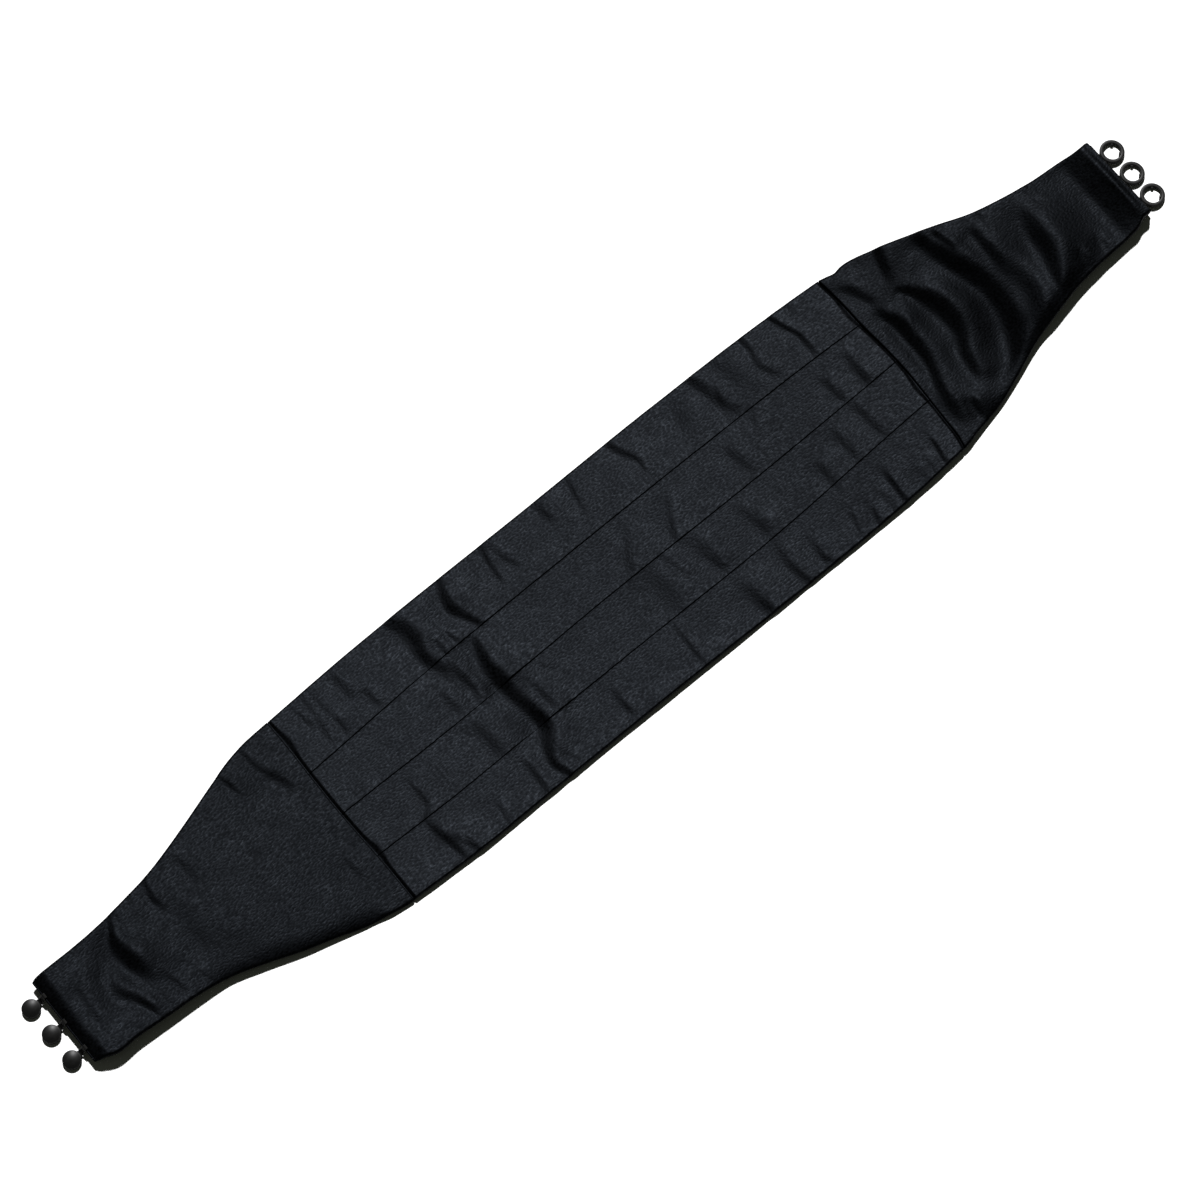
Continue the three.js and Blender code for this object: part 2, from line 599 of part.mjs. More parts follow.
const sash = new THREE.Group();
sash.add(
  namedMesh("pleated_front", frontGeometry(), satin()),
  namedMesh("stud_tail", tailGeometry(STUD_TAIL, studPockets), satin()),
  namedMesh("ring_tail", tailGeometry(RING_TAIL, ringPockets), satin()),
  fastenerRow("stud", STUD_TAIL, studRow, studGeometry),
  fastenerRow("ring", RING_TAIL, ringRow, ringGeometry),
);

// The origin is the middle of the footprint, on the ground.
const extent = new THREE.Box3().setFromObject(sash, true);
const middle = extent.getCenter(new THREE.Vector3());
sash.position.set(-middle.x, -middle.y, -extent.min.z);

export default sash;
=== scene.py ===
# %% [markdown]
# # A satin waist sash, lying flat
#
# The sash has a pleated front, a shaped tail sewn over each end of it, and a row of moulded studs and a
# row of moulded rings that fasten the tails at the back. The solid model is loaded first. It fixes every
# size, and each piece made here takes its place from the box of the solid that it dresses.

# %% Load the solid model
import math
from collections import namedtuple

import bpy
import numpy as np
from mathutils import Matrix, Vector


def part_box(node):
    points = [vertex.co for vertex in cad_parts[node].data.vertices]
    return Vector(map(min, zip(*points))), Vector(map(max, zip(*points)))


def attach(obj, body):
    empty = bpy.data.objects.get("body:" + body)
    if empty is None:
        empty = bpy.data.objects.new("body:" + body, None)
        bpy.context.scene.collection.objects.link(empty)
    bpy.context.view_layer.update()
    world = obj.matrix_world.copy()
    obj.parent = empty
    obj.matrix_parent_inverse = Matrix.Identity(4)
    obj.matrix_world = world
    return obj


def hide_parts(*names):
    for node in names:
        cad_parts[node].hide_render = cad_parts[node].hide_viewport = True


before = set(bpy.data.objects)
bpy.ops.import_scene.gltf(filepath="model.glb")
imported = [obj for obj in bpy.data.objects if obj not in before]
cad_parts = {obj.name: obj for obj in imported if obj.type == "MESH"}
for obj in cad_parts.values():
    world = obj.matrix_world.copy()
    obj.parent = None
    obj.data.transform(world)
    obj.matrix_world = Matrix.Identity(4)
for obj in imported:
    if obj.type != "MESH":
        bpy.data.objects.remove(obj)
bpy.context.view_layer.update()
MM = 0.001


# %% Take the sizes from the boxes
def box_mm(solid):
    return [np.array(corner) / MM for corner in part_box(solid)]


front_low, front_high = box_mm("pleated_front")
STUD_SEAM = box_mm("stud_tail")[1][0]
RING_SEAM = box_mm("ring_tail")[0][0]
STUD_END = box_mm("stud_tail")[0][0]
RING_END = box_mm("ring_tail")[1][0]
FRONT_LENGTH = RING_SEAM - STUD_SEAM
FRONT_HALF = (front_high[1] - front_low[1]) / 2
FRONT_THICKNESS = 2.8
TAIL_THICKNESS = 3.0
TAIL_PLY = 0.7
GAP = 0.3
RING_SEAM_LIFT = front_high[2] - FRONT_THICKNESS

# %% [markdown]
# ## The camera
#
# The sash is seen from almost straight above through a long lens, turned so that it runs from corner to
# corner. A long lens far away keeps both ends nearly the same size, which a short one close by would not.

# %% Camera
VIEW_AZIMUTH = math.radians(-39.7)
VIEW_ELEVATION = math.radians(74)
VIEW_WIDTH = math.radians(18)
VIEW_DISTANCE = 2.186
VIEW_AIM = Vector((-0.0087, 0, 0))

back = Vector((
    math.sin(VIEW_AZIMUTH) * math.cos(VIEW_ELEVATION),
    -math.cos(VIEW_AZIMUTH) * math.cos(VIEW_ELEVATION),
    math.sin(VIEW_ELEVATION),
))
camera = bpy.data.objects.new("camera", bpy.data.cameras.new("camera"))
bpy.context.scene.collection.objects.link(camera)
camera.data.angle = VIEW_WIDTH
camera.data.clip_start = 0.05
camera.data.clip_end = 300
camera.location = VIEW_AIM + VIEW_DISTANCE * back
camera.rotation_euler = back.to_track_quat("Z", "Y").to_euler()
bpy.context.scene.camera = camera
print("camera at", [round(v, 3) for v in camera.location])

# %% [markdown]
# ## Writing shaders as sums
#
# A material is mostly arithmetic on a few patterns. A small class holds one output of a node and turns
# `a * b + c` into the nodes for it, so a finish reads as a formula. Its one method for other nodes takes
# the kind of node, its settings, and the values or links of its sockets.


# %% A socket that does sums
class Pattern:
    def __init__(self, tree, socket=None):
        self.tree = tree
        self.socket = socket

    def node(self, kind, settings=None, sockets=None, output=0):
        made = self.tree.nodes.new(kind)
        for name, value in (settings or {}).items():
            setattr(made, name, value)
        for name, value in (sockets or {}).items():
            if isinstance(value, Pattern):
                self.tree.links.new(value.socket, made.inputs[name])
            else:
                made.inputs[name].default_value = value
        return Pattern(self.tree, made.outputs[output])

    def sum(self, operation, first, second):
        return self.node("ShaderNodeMath", {"operation": operation}, {0: first, 1: second})

    def __add__(self, other):
        return self.sum("ADD", self, other)

    def __radd__(self, other):
        return self.sum("ADD", other, self)

    def __sub__(self, other):
        return self.sum("SUBTRACT", self, other)

    def __rsub__(self, other):
        return self.sum("SUBTRACT", other, self)

    def __mul__(self, other):
        return self.sum("MULTIPLY", self, other)

    def __rmul__(self, other):
        return self.sum("MULTIPLY", other, self)

    def limit(self, low, high):
        return self.sum("MINIMUM", self.sum("MAXIMUM", self, low), high)

    def noise(self, place, scale, detail=2.0):
        return self.node("ShaderNodeTexNoise", None, {"Vector": place, "Scale": scale, "Detail": detail})

    def stretch(self, place, factors):
        return self.node("ShaderNodeVectorMath", {"operation": "MULTIPLY"}, {0: place, 1: factors})

    def shades(self, factor, dark, light):
        """A colour between two, by a factor."""
        return self.node("ShaderNodeMix", {"data_type": "RGBA"}, {0: factor, 6: dark, 7: light}, output=2)


# %% A material from one shader
def finish(name, sockets_of):
    """A material with one shader, whose sockets come from sockets_of(pattern, place)."""
    material = bpy.data.materials.new(name)
    material.use_nodes = True
    material.node_tree.nodes.clear()
    start = Pattern(material.node_tree)
    place = start.node("ShaderNodeTexCoord", output="Object")
    shader = start.node("ShaderNodeBsdfPrincipled", None, sockets_of(start, place))
    start.tree.links.new(shader.socket, start.tree.nodes.new("ShaderNodeOutputMaterial").inputs["Surface"])
    return material


print("patterns add, subtract, multiply and have limits")

# %% [markdown]
# ## Ground and light
#
# The sash lies on a plain pale ground. One fairly small light stands high behind it, as a studio head
# does, and gives the short dark shadow beside the raised tails. The air around is dim, because a bright
# sky would fill the folds of black satin with grey. Only the camera sees the air as a pale backdrop.

# %% Ground
GROUND_HALF = 30.0


def ground_sockets(start, place):
    mottle = start.noise(place, 3.0, 3.0)
    colour = start.shades(mottle, (0.87, 0.87, 0.87, 1), (0.91, 0.91, 0.91, 1))
    return {"Base Color": colour, "Roughness": 0.9, "Specular IOR Level": 0.1}


ground_corners = [(x * GROUND_HALF, y * GROUND_HALF, 0) for x, y in ((-1, -1), (1, -1), (1, 1), (-1, 1))]
ground_mesh = bpy.data.meshes.new("ground")
ground_mesh.from_pydata(ground_corners, [], [(0, 1, 2, 3)])
ground_mesh.materials.append(finish("ground", ground_sockets))
ground = bpy.data.objects.new("ground", ground_mesh)
bpy.context.scene.collection.objects.link(ground)
print("ground", 2 * GROUND_HALF, "m wide")

# %% Light
LIGHT_DIRECTION = Vector((0.413, 0.550, 0.725))
LIGHT_STRENGTH = 6.8
LIGHT_ANGLE = math.radians(4)
AIR_COLOUR = (0.026, 0.028, 0.022, 1)
BACKDROP_COLOUR = (1.0, 1.0, 1.0, 1)

lamp = bpy.data.objects.new("studio_light", bpy.data.lights.new("studio_light", "SUN"))
lamp.data.energy = LIGHT_STRENGTH
lamp.data.angle = LIGHT_ANGLE
lamp.rotation_euler = LIGHT_DIRECTION.to_track_quat("Z", "Y").to_euler()
bpy.context.scene.collection.objects.link(lamp)

air = bpy.data.worlds.new("air")
bpy.context.scene.world = air
air.use_nodes = True
sky = Pattern(air.node_tree)
seen = sky.node("ShaderNodeLightPath", output="Is Camera Ray")
air_colour = sky.shades(seen, AIR_COLOUR, BACKDROP_COLOUR)
air.node_tree.links.new(air_colour.socket, air.node_tree.nodes["Background"].inputs["Color"])
bpy.context.scene.view_settings.view_transform = "Standard"
print("one light, dim air")

# %% [markdown]
# ## Tools for cloth
#
# Cloth pieces here are closed skins through many sections. Each section is a ring of points round the
# piece, and the soft folds are added to its height. Three kinds of movement are enough: creases that
# were drawn one by one, a fine random ripple, and puckers that run in from a sewn edge. A cloth
# simulation would give folds of its own, but not these ones in these places.


# %% A smooth curve through a few values
def curve(place, xs, ys):
    """Goes through every (x, y) without corners, and stays level outside them."""
    xs, ys = np.asarray(xs, float), np.asarray(ys, float)
    slopes = np.gradient(ys, xs)
    place = np.clip(place, xs[0], xs[-1])
    index = np.clip(np.searchsorted(xs, place, side="right") - 1, 0, len(xs) - 2)
    width = xs[index + 1] - xs[index]
    t = (place - xs[index]) / width
    start = (2 * t**3 - 3 * t**2 + 1) * ys[index] + (t**3 - 2 * t**2 + t) * width * slopes[index]
    end = (3 * t**2 - 2 * t**3) * ys[index + 1] + (t**3 - t**2) * width * slopes[index + 1]
    return start + end


def column(table, name, place):
    """One column of a table at any places along it."""
    return curve(place, [row.along for row in table], [getattr(row, name) for row in table])


def smooth_step(value, low, high):
    t = np.clip((value - low) / (high - low), 0, 1)
    return t * t * (3 - 2 * t)


print("a smooth step at a quarter, half and three quarters:", smooth_step(np.array([0.25, 0.5, 0.75]), 0, 1))

# %% Random ripple
DICE_SIZE = 96
Ripple = namedtuple("Ripple", "depth cell_x cell_y seed")


def ripple(x, y, cell_x, cell_y, seed):
    """Smooth random hills between -1 and 1, each about a cell in size."""
    grid = np.random.default_rng(seed).uniform(-1, 1, (DICE_SIZE, DICE_SIZE))
    u, v = x / cell_x + DICE_SIZE / 2, y / cell_y + DICE_SIZE / 2
    iu, iv = np.floor(u).astype(int), np.floor(v).astype(int)
    su, sv = smooth_step(u - iu, 0, 1), smooth_step(v - iv, 0, 1)
    iu, iv, ju, jv = iu % DICE_SIZE, iv % DICE_SIZE, (iu + 1) % DICE_SIZE, (iv + 1) % DICE_SIZE
    near = grid[iu, iv] * (1 - su) + grid[ju, iv] * su
    far = grid[iu, jv] * (1 - su) + grid[ju, jv] * su
    return near * (1 - sv) + far * sv


def ripples(x, y, table, first_seed=0):
    return sum(row.depth * ripple(x, y, row.cell_x, row.cell_y, first_seed + row.seed) for row in table)


print("a ripple at three places:", ripple(np.arange(3.0), np.zeros(3), 7, 7, 1).round(2))

# %% [markdown]
# A crease is a line of points from its start to its end. The cloth climbs steeply from the right of the
# line to its left, and settles again gently on both sides, so a line drawn toward -y climbs toward +x.
# Here the light comes from +x and +y, so those climbs are the dark strokes that satin shows. Where a line
# bends, the climbs of its nearest stretches are blended, because a jump from one to the next would leave
# a hairline in the cloth.

# %% Creases
# CREASE_FADE, FADE_SHARE: how far an end runs out, in mm and as a share of the reach of its climb.
# CREASE_REACH: how many reaches away a crease still counts. STROKE: reach for each mm of drawn width.
# BLEND_NEAR, BLEND_FAR: how wide the blend is on the line, and how much wider for each mm beside it.
# STEEPER, LEAST_SLOPE: the slope of the cloth for each degree that was drawn, and for none.
CREASE_FADE = 5.0
FADE_SHARE = 0.8
CREASE_REACH = 6.0
STROKE = 2.5
BLEND_NEAR = 0.5
BLEND_FAR = 0.1
STEEPER = 1.38
LEAST_SLOPE = 2.0
PATH_STEPS = 4


def crease_path(points):
    """A finer path through the points (x, y, width, slope)."""
    table = np.array(points, float)
    knots = np.arange(len(table))
    fine = np.linspace(0, knots[-1], PATH_STEPS * knots[-1] + 1)
    return np.stack([curve(fine, knots, table[:, k]) for k in range(4)], axis=-1)


def one_crease(path, x, y):
    """Blends the climbs of all stretches of a path, the nearest ones counting most."""
    climbs, fades, aways = [], [], []
    last = len(path) - 2
    for number, (start, end) in enumerate(zip(path[:-1], path[1:])):
        step = end[:2] - start[:2]
        length = math.hypot(*step)
        ahead = ((x - start[0]) * step[0] + (y - start[1]) * step[1]) / length**2
        side = (step[0] * (y - start[1]) - step[1] * (x - start[0])) / length
        share = np.clip(ahead, 0, 1)
        before = -ahead * (number == 0)
        after = (ahead - 1) * (number == last)
        beyond = np.maximum(np.maximum(before, after), 0) * length
        width, slope = (start[k] + (end[k] - start[k]) * share for k in (2, 3))
        reach = STROKE * width
        u = side / reach
        climbs.append(reach * np.tan(np.radians(LEAST_SLOPE + STEEPER * slope)) * u / (1 + u * u) ** 2)
        fades.append(np.exp(-((beyond / np.maximum(CREASE_FADE, FADE_SHARE * reach)) ** 2)))
        aways.append(np.hypot(side, (ahead - share) * length))
    climbs, fades, aways = np.array(climbs), np.array(fades), np.array(aways)
    nearest = aways.min(axis=0)
    fade = np.take_along_axis(fades, aways.argmin(axis=0)[None], axis=0)[0]
    weights = np.exp((nearest - aways) / (BLEND_NEAR + BLEND_FAR * nearest))
    return fade * (weights * climbs).sum(axis=0) / weights.sum(axis=0)


def crease_height(creases, x, y):
    x, y = np.broadcast_arrays(x, y)
    total = np.zeros(x.shape)
    for points in creases:
        path = crease_path(points)
        reach = CREASE_REACH * STROKE * path[:, 2].max() + 2 * CREASE_FADE
        low, high = path[:, :2].min(axis=0) - reach, path[:, :2].max(axis=0) + reach
        near = (x > low[0]) & (x < high[0]) & (y > low[1]) & (y < high[1])
        total[near] += one_crease(path, x[near], y[near])
    return total


print("a crease drawn 2 mm wide reaches", 2 * STROKE, "mm to each side")

# %% Puckers at a sewn edge
PUCKER_DEPTH = 0.22
PUCKER_REACH = 11.0
PUCKER_CELL = 7.0
PUCKER_LENGTH = 60
PUCKER_SLANT = 0.25


def puckers(x, y, edge, seed):
    """Small pulls that run in from a sewn edge at y = edge."""
    away = np.abs(y - edge)
    pulls = ripple(x + PUCKER_SLANT * away, y, PUCKER_CELL, PUCKER_LENGTH, seed)
    return PUCKER_DEPTH * np.exp(-away / PUCKER_REACH) * pulls


print("puckers", PUCKER_DEPTH, "mm deep, gone about", 2 * PUCKER_REACH, "mm from the edge")


# %% Skins through sections
def new_object(name, points, faces, material, sharp):
    mesh = bpy.data.meshes.new(name)
    mesh.from_pydata((np.asarray(points) * MM).tolist(), [], faces)
    mesh.materials.append(material)
    mesh.shade_smooth()
    mesh.set_sharp_from_angle(angle=math.radians(sharp))
    made = bpy.data.objects.new(name, mesh)
    bpy.context.scene.collection.objects.link(made)
    return made


def skin(name, sections, material, sharp=75):
    """A closed skin through rings of points, an array of shape (sections, points, 3) in mm."""
    sections = np.asarray(sections)
    count, size = sections.shape[:2]
    corner = np.arange(count * size).reshape(count, size)
    beside = np.roll(corner, -1, axis=1)
    quads = np.stack([corner[:-1], beside[:-1], beside[1:], corner[1:]], axis=-1).reshape(-1, 4)
    faces = quads.tolist() + [corner[0, ::-1].tolist(), corner[-1].tolist()]
    points = sections.reshape(-1, 3)
    a, b, c, d = (points[quads[:, i]] for i in range(4))
    volume = (a * (np.cross(b, c) + np.cross(c, d))).sum()
    if volume < 0:
        faces = [face[::-1] for face in faces]
    return new_object(name, points, faces, material, sharp)


print("skins are drawn in mm, and one mm is", MM)

# %% [markdown]
# ## Satin
#
# Satin shows little colour of its own when it is black: nearly all that is seen is the light on its long
# floating threads. So the base colour is almost black, and the gloss, its roughness and a fine grain make
# the look. The grain is three noises: warp threads drawn out along the sash, weft threads across it, and
# slubs that break both up. At this distance it reads as the sparkle of silk. Soft clouds keep the black
# from being one flat tone. A long shallow dish in the same bump, leaning to the light, keeps the shine
# even from end to end, as a wide studio light would, so that folds show dark and seldom bright.

# %% Satin material
WARP_SCALE = (380, 3200, 900)
WEFT_SCALE = (2300, 520, 900)
SLUB_SCALE = (600, 950, 800)
CLOUD_SCALE = 120.0
WARP_SHARE = 0.26
WEFT_SHARE = 0.12
SLUB_SHARE = 0.62
GRAIN_DEPTH = 0.0002
CLOUD_TONE = 1.2
GRAIN_TONE = 2.4
SATIN_ROUGHNESS = 0.42
CLOUD_ROUGHNESS = 0.14
GRAIN_ROUGHNESS = 0.5
SATIN_TINT = (0.71, 0.82, 1.0, 1)
DISH = 0.1225
DISH_MIDDLE = 0.42
DISH_TILT = -0.14


def satin(name, dark, light, gloss):
    def sockets(start, place):
        warp = start.noise(start.stretch(place, WARP_SCALE), 1.0)
        weft = start.noise(start.stretch(place, WEFT_SCALE), 1.0)
        slub = start.noise(start.stretch(place, SLUB_SCALE), 1.0, 0.0)
        cloud = start.noise(place, CLOUD_SCALE, 4.0)
        grain = WARP_SHARE * warp + WEFT_SHARE * weft + SLUB_SHARE * slub
        tone = (cloud - 0.5) * CLOUD_TONE + (grain - 0.5) * GRAIN_TONE + 0.5
        rough = (cloud - 0.5) * CLOUD_ROUGHNESS + (grain - 0.5) * GRAIN_ROUGHNESS + SATIN_ROUGHNESS
        along = start.node("ShaderNodeSeparateXYZ", None, {0: place}) - DISH_MIDDLE
        across = start.node("ShaderNodeSeparateXYZ", None, {0: place}, output=1)
        height = grain + along * along * (DISH / GRAIN_DEPTH) + across * (DISH_TILT / GRAIN_DEPTH)
        weave = {"Strength": 1.0, "Distance": GRAIN_DEPTH, "Height": height}
        return {
            "Base Color": start.shades(tone.limit(0, 1), dark, light),
            "Roughness": rough.limit(0.28, 0.8),
            "Specular IOR Level": gloss,
            "Specular Tint": SATIN_TINT,
            "Normal": start.node("ShaderNodeBump", None, weave),
        }

    return finish(name, sockets)


SATIN_BLACK = (0.0002, 0.0002, 0.0002, 1)
# The tails are the same satin as the front. Their copy gets a darker colour and less gloss, which is painted
# shade for tails that lie turned away from the light.
FRONT_GLOSS = 0.0204
TAIL_GLOSS = 0.0155
front_satin = satin("satin_front", SATIN_BLACK, (0.0014, 0.0015, 0.0018, 1), FRONT_GLOSS)
shaded_tail_satin = satin("satin_tails", SATIN_BLACK, (0.001, 0.0011, 0.0013, 1), TAIL_GLOSS)
print("satin for the front and the tails")

# %% [markdown]
# ## The pleated front
#
# Four pleats overlap like shingles, each with its folded edge toward the bottom of the front, so the
# steps turn away from the light and show as thin dark lines. The section across the front is drawn once,
# with a round folded edge and a narrow slit under it, and swept along the length, where it follows the
# outline, the creases and the sunk line at each seam.

# %% Outline and pleats of the front
Outline = namedtuple("Outline", "along top bottom")
FRONT_OUTLINE = [
    Outline(0.0, 0.916, 0.970),
    Outline(0.13, 0.953, 1.0),
    Outline(0.22, 0.967, 0.994),
    Outline(0.46, 0.982, 0.988),
    Outline(0.7, 1.0, 0.994),
    Outline(0.82, 0.994, 0.987),
    Outline(0.9, 0.981, 0.971),
    Outline(1.0, 0.953, 0.930),
]
Pleats = namedtuple("Pleats", "along first second third")
PLEATS = [
    Pleats(0.0, 0.293, 0.518, 0.753),
    Pleats(0.06, 0.288, 0.519, 0.753),
    Pleats(0.22, 0.2746, 0.5254, 0.755),
    Pleats(0.46, 0.267, 0.5125, 0.755),
    Pleats(0.7, 0.268, 0.514, 0.753),
    Pleats(0.92, 0.2706, 0.508, 0.732),
    Pleats(1.0, 0.275, 0.506, 0.732),
]
print(len(FRONT_OUTLINE), "places along the outline,", len(PLEATS), "along the pleats")

# %% Creases of the front
# Each point is (x, y, width, slope in degrees), and each row of points is one crease. The four lists are
# the four pleats, from the top one down.
FIRST_PLEAT_CREASES = [
    [(-186, 64, 1.5, 5), (-184, 50, 1.8, 6)],
    [(-177, 64, 2.0, 4), (-178, 50, 2.0, 5), (-180, 36, 2.0, 4)],
    [(-172, 64, 1.8, 5), (-172, 50, 1.6, 5)],
    [(-170, 40, 1.5, 7), (-170, 35, 1.5, 6)],
    [(-156, 60, 2.4, 4), (-155, 48, 2.4, 4)],
    [(-147, 42, 2.0, 4), (-146, 35, 2.0, 4)],
    [(-112, 68, 4.0, 8), (-107, 60, 5.0, 10), (-106, 50, 5.0, 10), (-108, 40, 4.0, 11), (-108, 33, 3.5, 10)],
    [(-96, 67, 1.5, 6), (-96, 62, 1.5, 6)],
    [(-92, 67, 1.6, 5), (-89, 55, 2.0, 5)],
    [(-97, 40, 2.2, 7), (-97, 33, 2.2, 9)],
    [(-89, 39, 1.6, 9), (-88, 34, 1.6, 8)],
    [(-73, 68, 2.0, 12), (-77, 58, 3.2, 14), (-78, 50, 3.6, 14), (-75, 42, 2.6, 12), (-72, 35, 1.8, 12)],
    [(-42, 68, 2.2, 8), (-44, 58, 1.8, 10), (-45, 48, 1.4, 7)],
    [(-37, 66, 2.4, 4), (-36, 56, 2.4, 5), (-33, 48, 2.0, 3)],
    [(-1, 66, 2.5, 5), (0, 58, 2.5, 5)],
    [(23, 68, 1.6, 7), (21, 60, 1.4, 9), (19, 50, 1.4, 4)],
    [(55, 68, 2.2, 8), (58, 60, 2.0, 9), (62, 52, 1.5, 8), (62, 46, 1.5, 4)],
    [(108, 66, 7.0, 3), (102, 55, 7.0, 4)],
    [(118, 68, 3.2, 9), (120, 60, 3.8, 9), (121, 50, 3.8, 8), (125, 40, 3.6, 5)],
    [(125, 54, 1.3, 8), (123, 49, 1.3, 6)],
    [(136, 62, 7.0, 4), (138, 50, 7.0, 3)],
    [(156, 68, 1.8, 9), (156, 60, 1.6, 8), (154, 50, 2.0, 6), (157, 42, 1.8, 4)],
    [(178, 68, 1.3, 14), (181, 58, 1.3, 14), (184, 50, 1.3, 13), (184, 38, 1.5, 6)],
]
SECOND_PLEAT_CREASES = [
    [(-105, 28, 2.2, 4), (-106, 20, 2.2, 4)],
    [(-114, 12, 2.5, 4), (-113, 3, 2.5, 4)],
    [(-101, 25, 3.0, 5), (-99, 17, 3.2, 8), (-98, 6, 3.0, 9), (-99, 0, 3.0, 7)],
    [(-80, 26, 2.5, 8), (-82, 19, 3.5, 12), (-84, 10, 4.2, 14), (-83, 0, 4.8, 13)],
    [(28, 18, 3.4, 3), (18, 6, 3.4, 4)],
    [(59, 20, 2.5, 3), (49, 3, 2.5, 5)],
    [(107, 18, 3.0, 4), (109, 6, 2.4, 3)],
    [(133, 30, 1.6, 4), (130, 26, 1.6, 4)],
    [(177, 16, 2.2, 5), (178, 5, 2.2, 5)],
    [(197, 20, 2.2, 5), (196, 4, 2.6, 7)],
]
THIRD_PLEAT_CREASES = [
    [(-84, -4, 3.4, 9), (-83, -12, 4.0, 12), (-81, -22, 4.0, 14), (-80, -33, 3.6, 13)],
    [(-71, -9, 3.0, 4), (-70, -20, 3.0, 8), (-69, -32, 3.0, 7)],
    [(-111, -14, 4.0, 4), (-110, -30, 4.0, 4)],
    [(-161, -18, 1.6, 5), (-161, -29, 2.0, 6), (-164, -34, 2.0, 4)],
    [(-60, -8, 1.6, 4), (-57, -13, 1.6, 4)],
    [(36, -6, 1.8, 5), (39, -18, 2.0, 3)],
    [(25, -16, 6.0, 3), (25, -26, 6.0, 2)],
    [(56, -15, 5.0, 3), (58, -28, 3.0, 5)],
    [(89, -12, 3.0, 3), (92, -26, 4.0, 4)],
    [(141, -22, 2.4, 4), (141, -30, 2.4, 3)],
    [(161, -12, 2.2, 4), (161, -26, 2.2, 3)],
    [(181, -8, 2.6, 5), (182, -25, 2.6, 4)],
]
FOURTH_PLEAT_CREASES = [
    [(-168, -39, 1.8, 5), (-167, -47, 2.4, 9), (-165, -57, 2.4, 12), (-164, -67, 2.0, 10)],
    [(-160, -58, 1.4, 8), (-158, -65, 1.4, 7)],
    [(-156, -61, 1.3, 8), (-155, -68, 1.5, 8)],
    [(-131, -60, 1.8, 5), (-132, -67, 1.8, 5)],
    [(-137, -60, 1.6, 3), (-137, -66, 1.6, 3)],
    [(-103, -48, 2.0, 6), (-103, -58, 2.5, 8), (-104, -67, 2.0, 5)],
    [(-81, -38, 4.6, 8), (-85, -45, 4.8, 10), (-89, -52, 3.4, 12), (-91, -59, 2.6, 13), (-88, -68, 2.0, 12)],
    [(-82, -58, 2.0, 4), (-80, -64, 2.0, 4)],
    [(-38, -50, 1.6, 4), (-38, -60, 2.2, 6)],
    [(14, -39, 1.4, 4), (13, -62, 1.4, 7), (13, -68, 1.4, 4)],
    [(61, -52, 4.0, 4), (62, -60, 4.0, 7), (63, -67, 2.6, 9)],
    [(90, -42, 3.0, 3), (89, -55, 2.6, 6), (91, -68, 2.6, 7)],
    [(108, -52, 2.6, 3), (107, -64, 2.2, 8), (109, -68, 1.6, 4)],
    [(136, -56, 1.6, 4), (134, -63, 1.4, 5)],
    [(148, -58, 1.5, 4), (146, -66, 1.8, 8)],
    [(159, -58, 3.0, 3), (159, -66, 3.0, 3)],
    [(168, -47, 2.0, 4), (167, -54, 1.6, 12), (166, -66, 1.6, 12)],
    [(184, -60, 3.0, 3), (184, -66, 3.0, 3)],
    [(192, -60, 2.4, 4), (192, -66, 2.4, 4)],
    [(202, -54, 1.4, 11), (201, -62, 1.4, 12), (202, -66, 1.3, 6)],
]
FRONT_CREASES = FIRST_PLEAT_CREASES + SECOND_PLEAT_CREASES + THIRD_PLEAT_CREASES + FOURTH_PLEAT_CREASES
print(len(FRONT_CREASES), "creases on the front")

# %% Lines pressed through by the hidden edges under the pleats
Press = namedtuple("Press", "y x_from x_to")
PRESS_LINES = [
    Press(42.4, -147, -119),
    Press(43.0, -62, 11),
    Press(18.6, -199, -161),
    Press(17.6, -124, -114),
    Press(18.0, -70, 11),
    Press(-16.9, -174, -154),
    Press(-17.8, -131, -114),
    Press(-16.0, -99, -90),
    Press(-17.0, -60, 8),
    Press(-13.0, 104, 114),
]
PRESS_DEPTH = 0.09
PRESS_WIDTH = 0.45
PRESS_ENDS = 6
PRESS_FADE = 9


def press_height(x, y):
    """A faint step down toward -y, whose upper edge takes the light."""
    total = np.zeros(np.broadcast(x, y).shape)
    for line in PRESS_LINES:
        start = smooth_step(x, line.x_from, line.x_from + PRESS_ENDS)
        window = start * (1 - smooth_step(x, line.x_to - PRESS_ENDS, line.x_to))
        above = (1 + np.tanh((y - line.y) / PRESS_WIDTH)) / 2
        total -= PRESS_DEPTH * window * above * np.exp(-(((y - line.y) / PRESS_FADE) ** 2))
    return total


print(len(PRESS_LINES), "pressed lines")

# %% Relief of the front
FRONT_RIPPLES = [Ripple(0.11, 24, 34, 5), Ripple(0.07, 9, 14, 6), Ripple(0.02, 3.4, 6, 7)]
CURL_HEIGHT = 0.8
CURL_WIDTH = 14
CURL_UNTIL = 90


def front_relief(x, y, top, bottom):
    soft = ripples(x, y, FRONT_RIPPLES)
    pulls = puckers(x, y, top, 8) + puckers(x, y, bottom, 9)
    curl = CURL_HEIGHT * np.exp((bottom - y) / CURL_WIDTH) * (1 - smooth_step(x, 0, CURL_UNTIL))
    return crease_height(FRONT_CREASES, x, y) + soft + pulls + curl + press_height(x, y)


print("ripples of", [row.depth for row in FRONT_RIPPLES], "mm, lower edge curled up by", CURL_HEIGHT, "mm")

# %% Section of the front
EDGE_ROUND = 1.4
LIP_RADIUS = 0.24
SLIT_DEPTH = 1.5
SLIT_HEIGHT = 0.1
PLEAT_STEP = 0.52
PLEAT_POINTS = 27
UNDER_POINTS = 24
BEAD_HEIGHT = 0.12
BEAD_WIDTH = 1.3
PLEAT_CROWDING = 1.35
QUARTER = (0, 18, 38, 60, 78)
UNDER_TURNS = (38, 78)
LIP_TURNS = (30, 60, 90, 120, 150, 180)


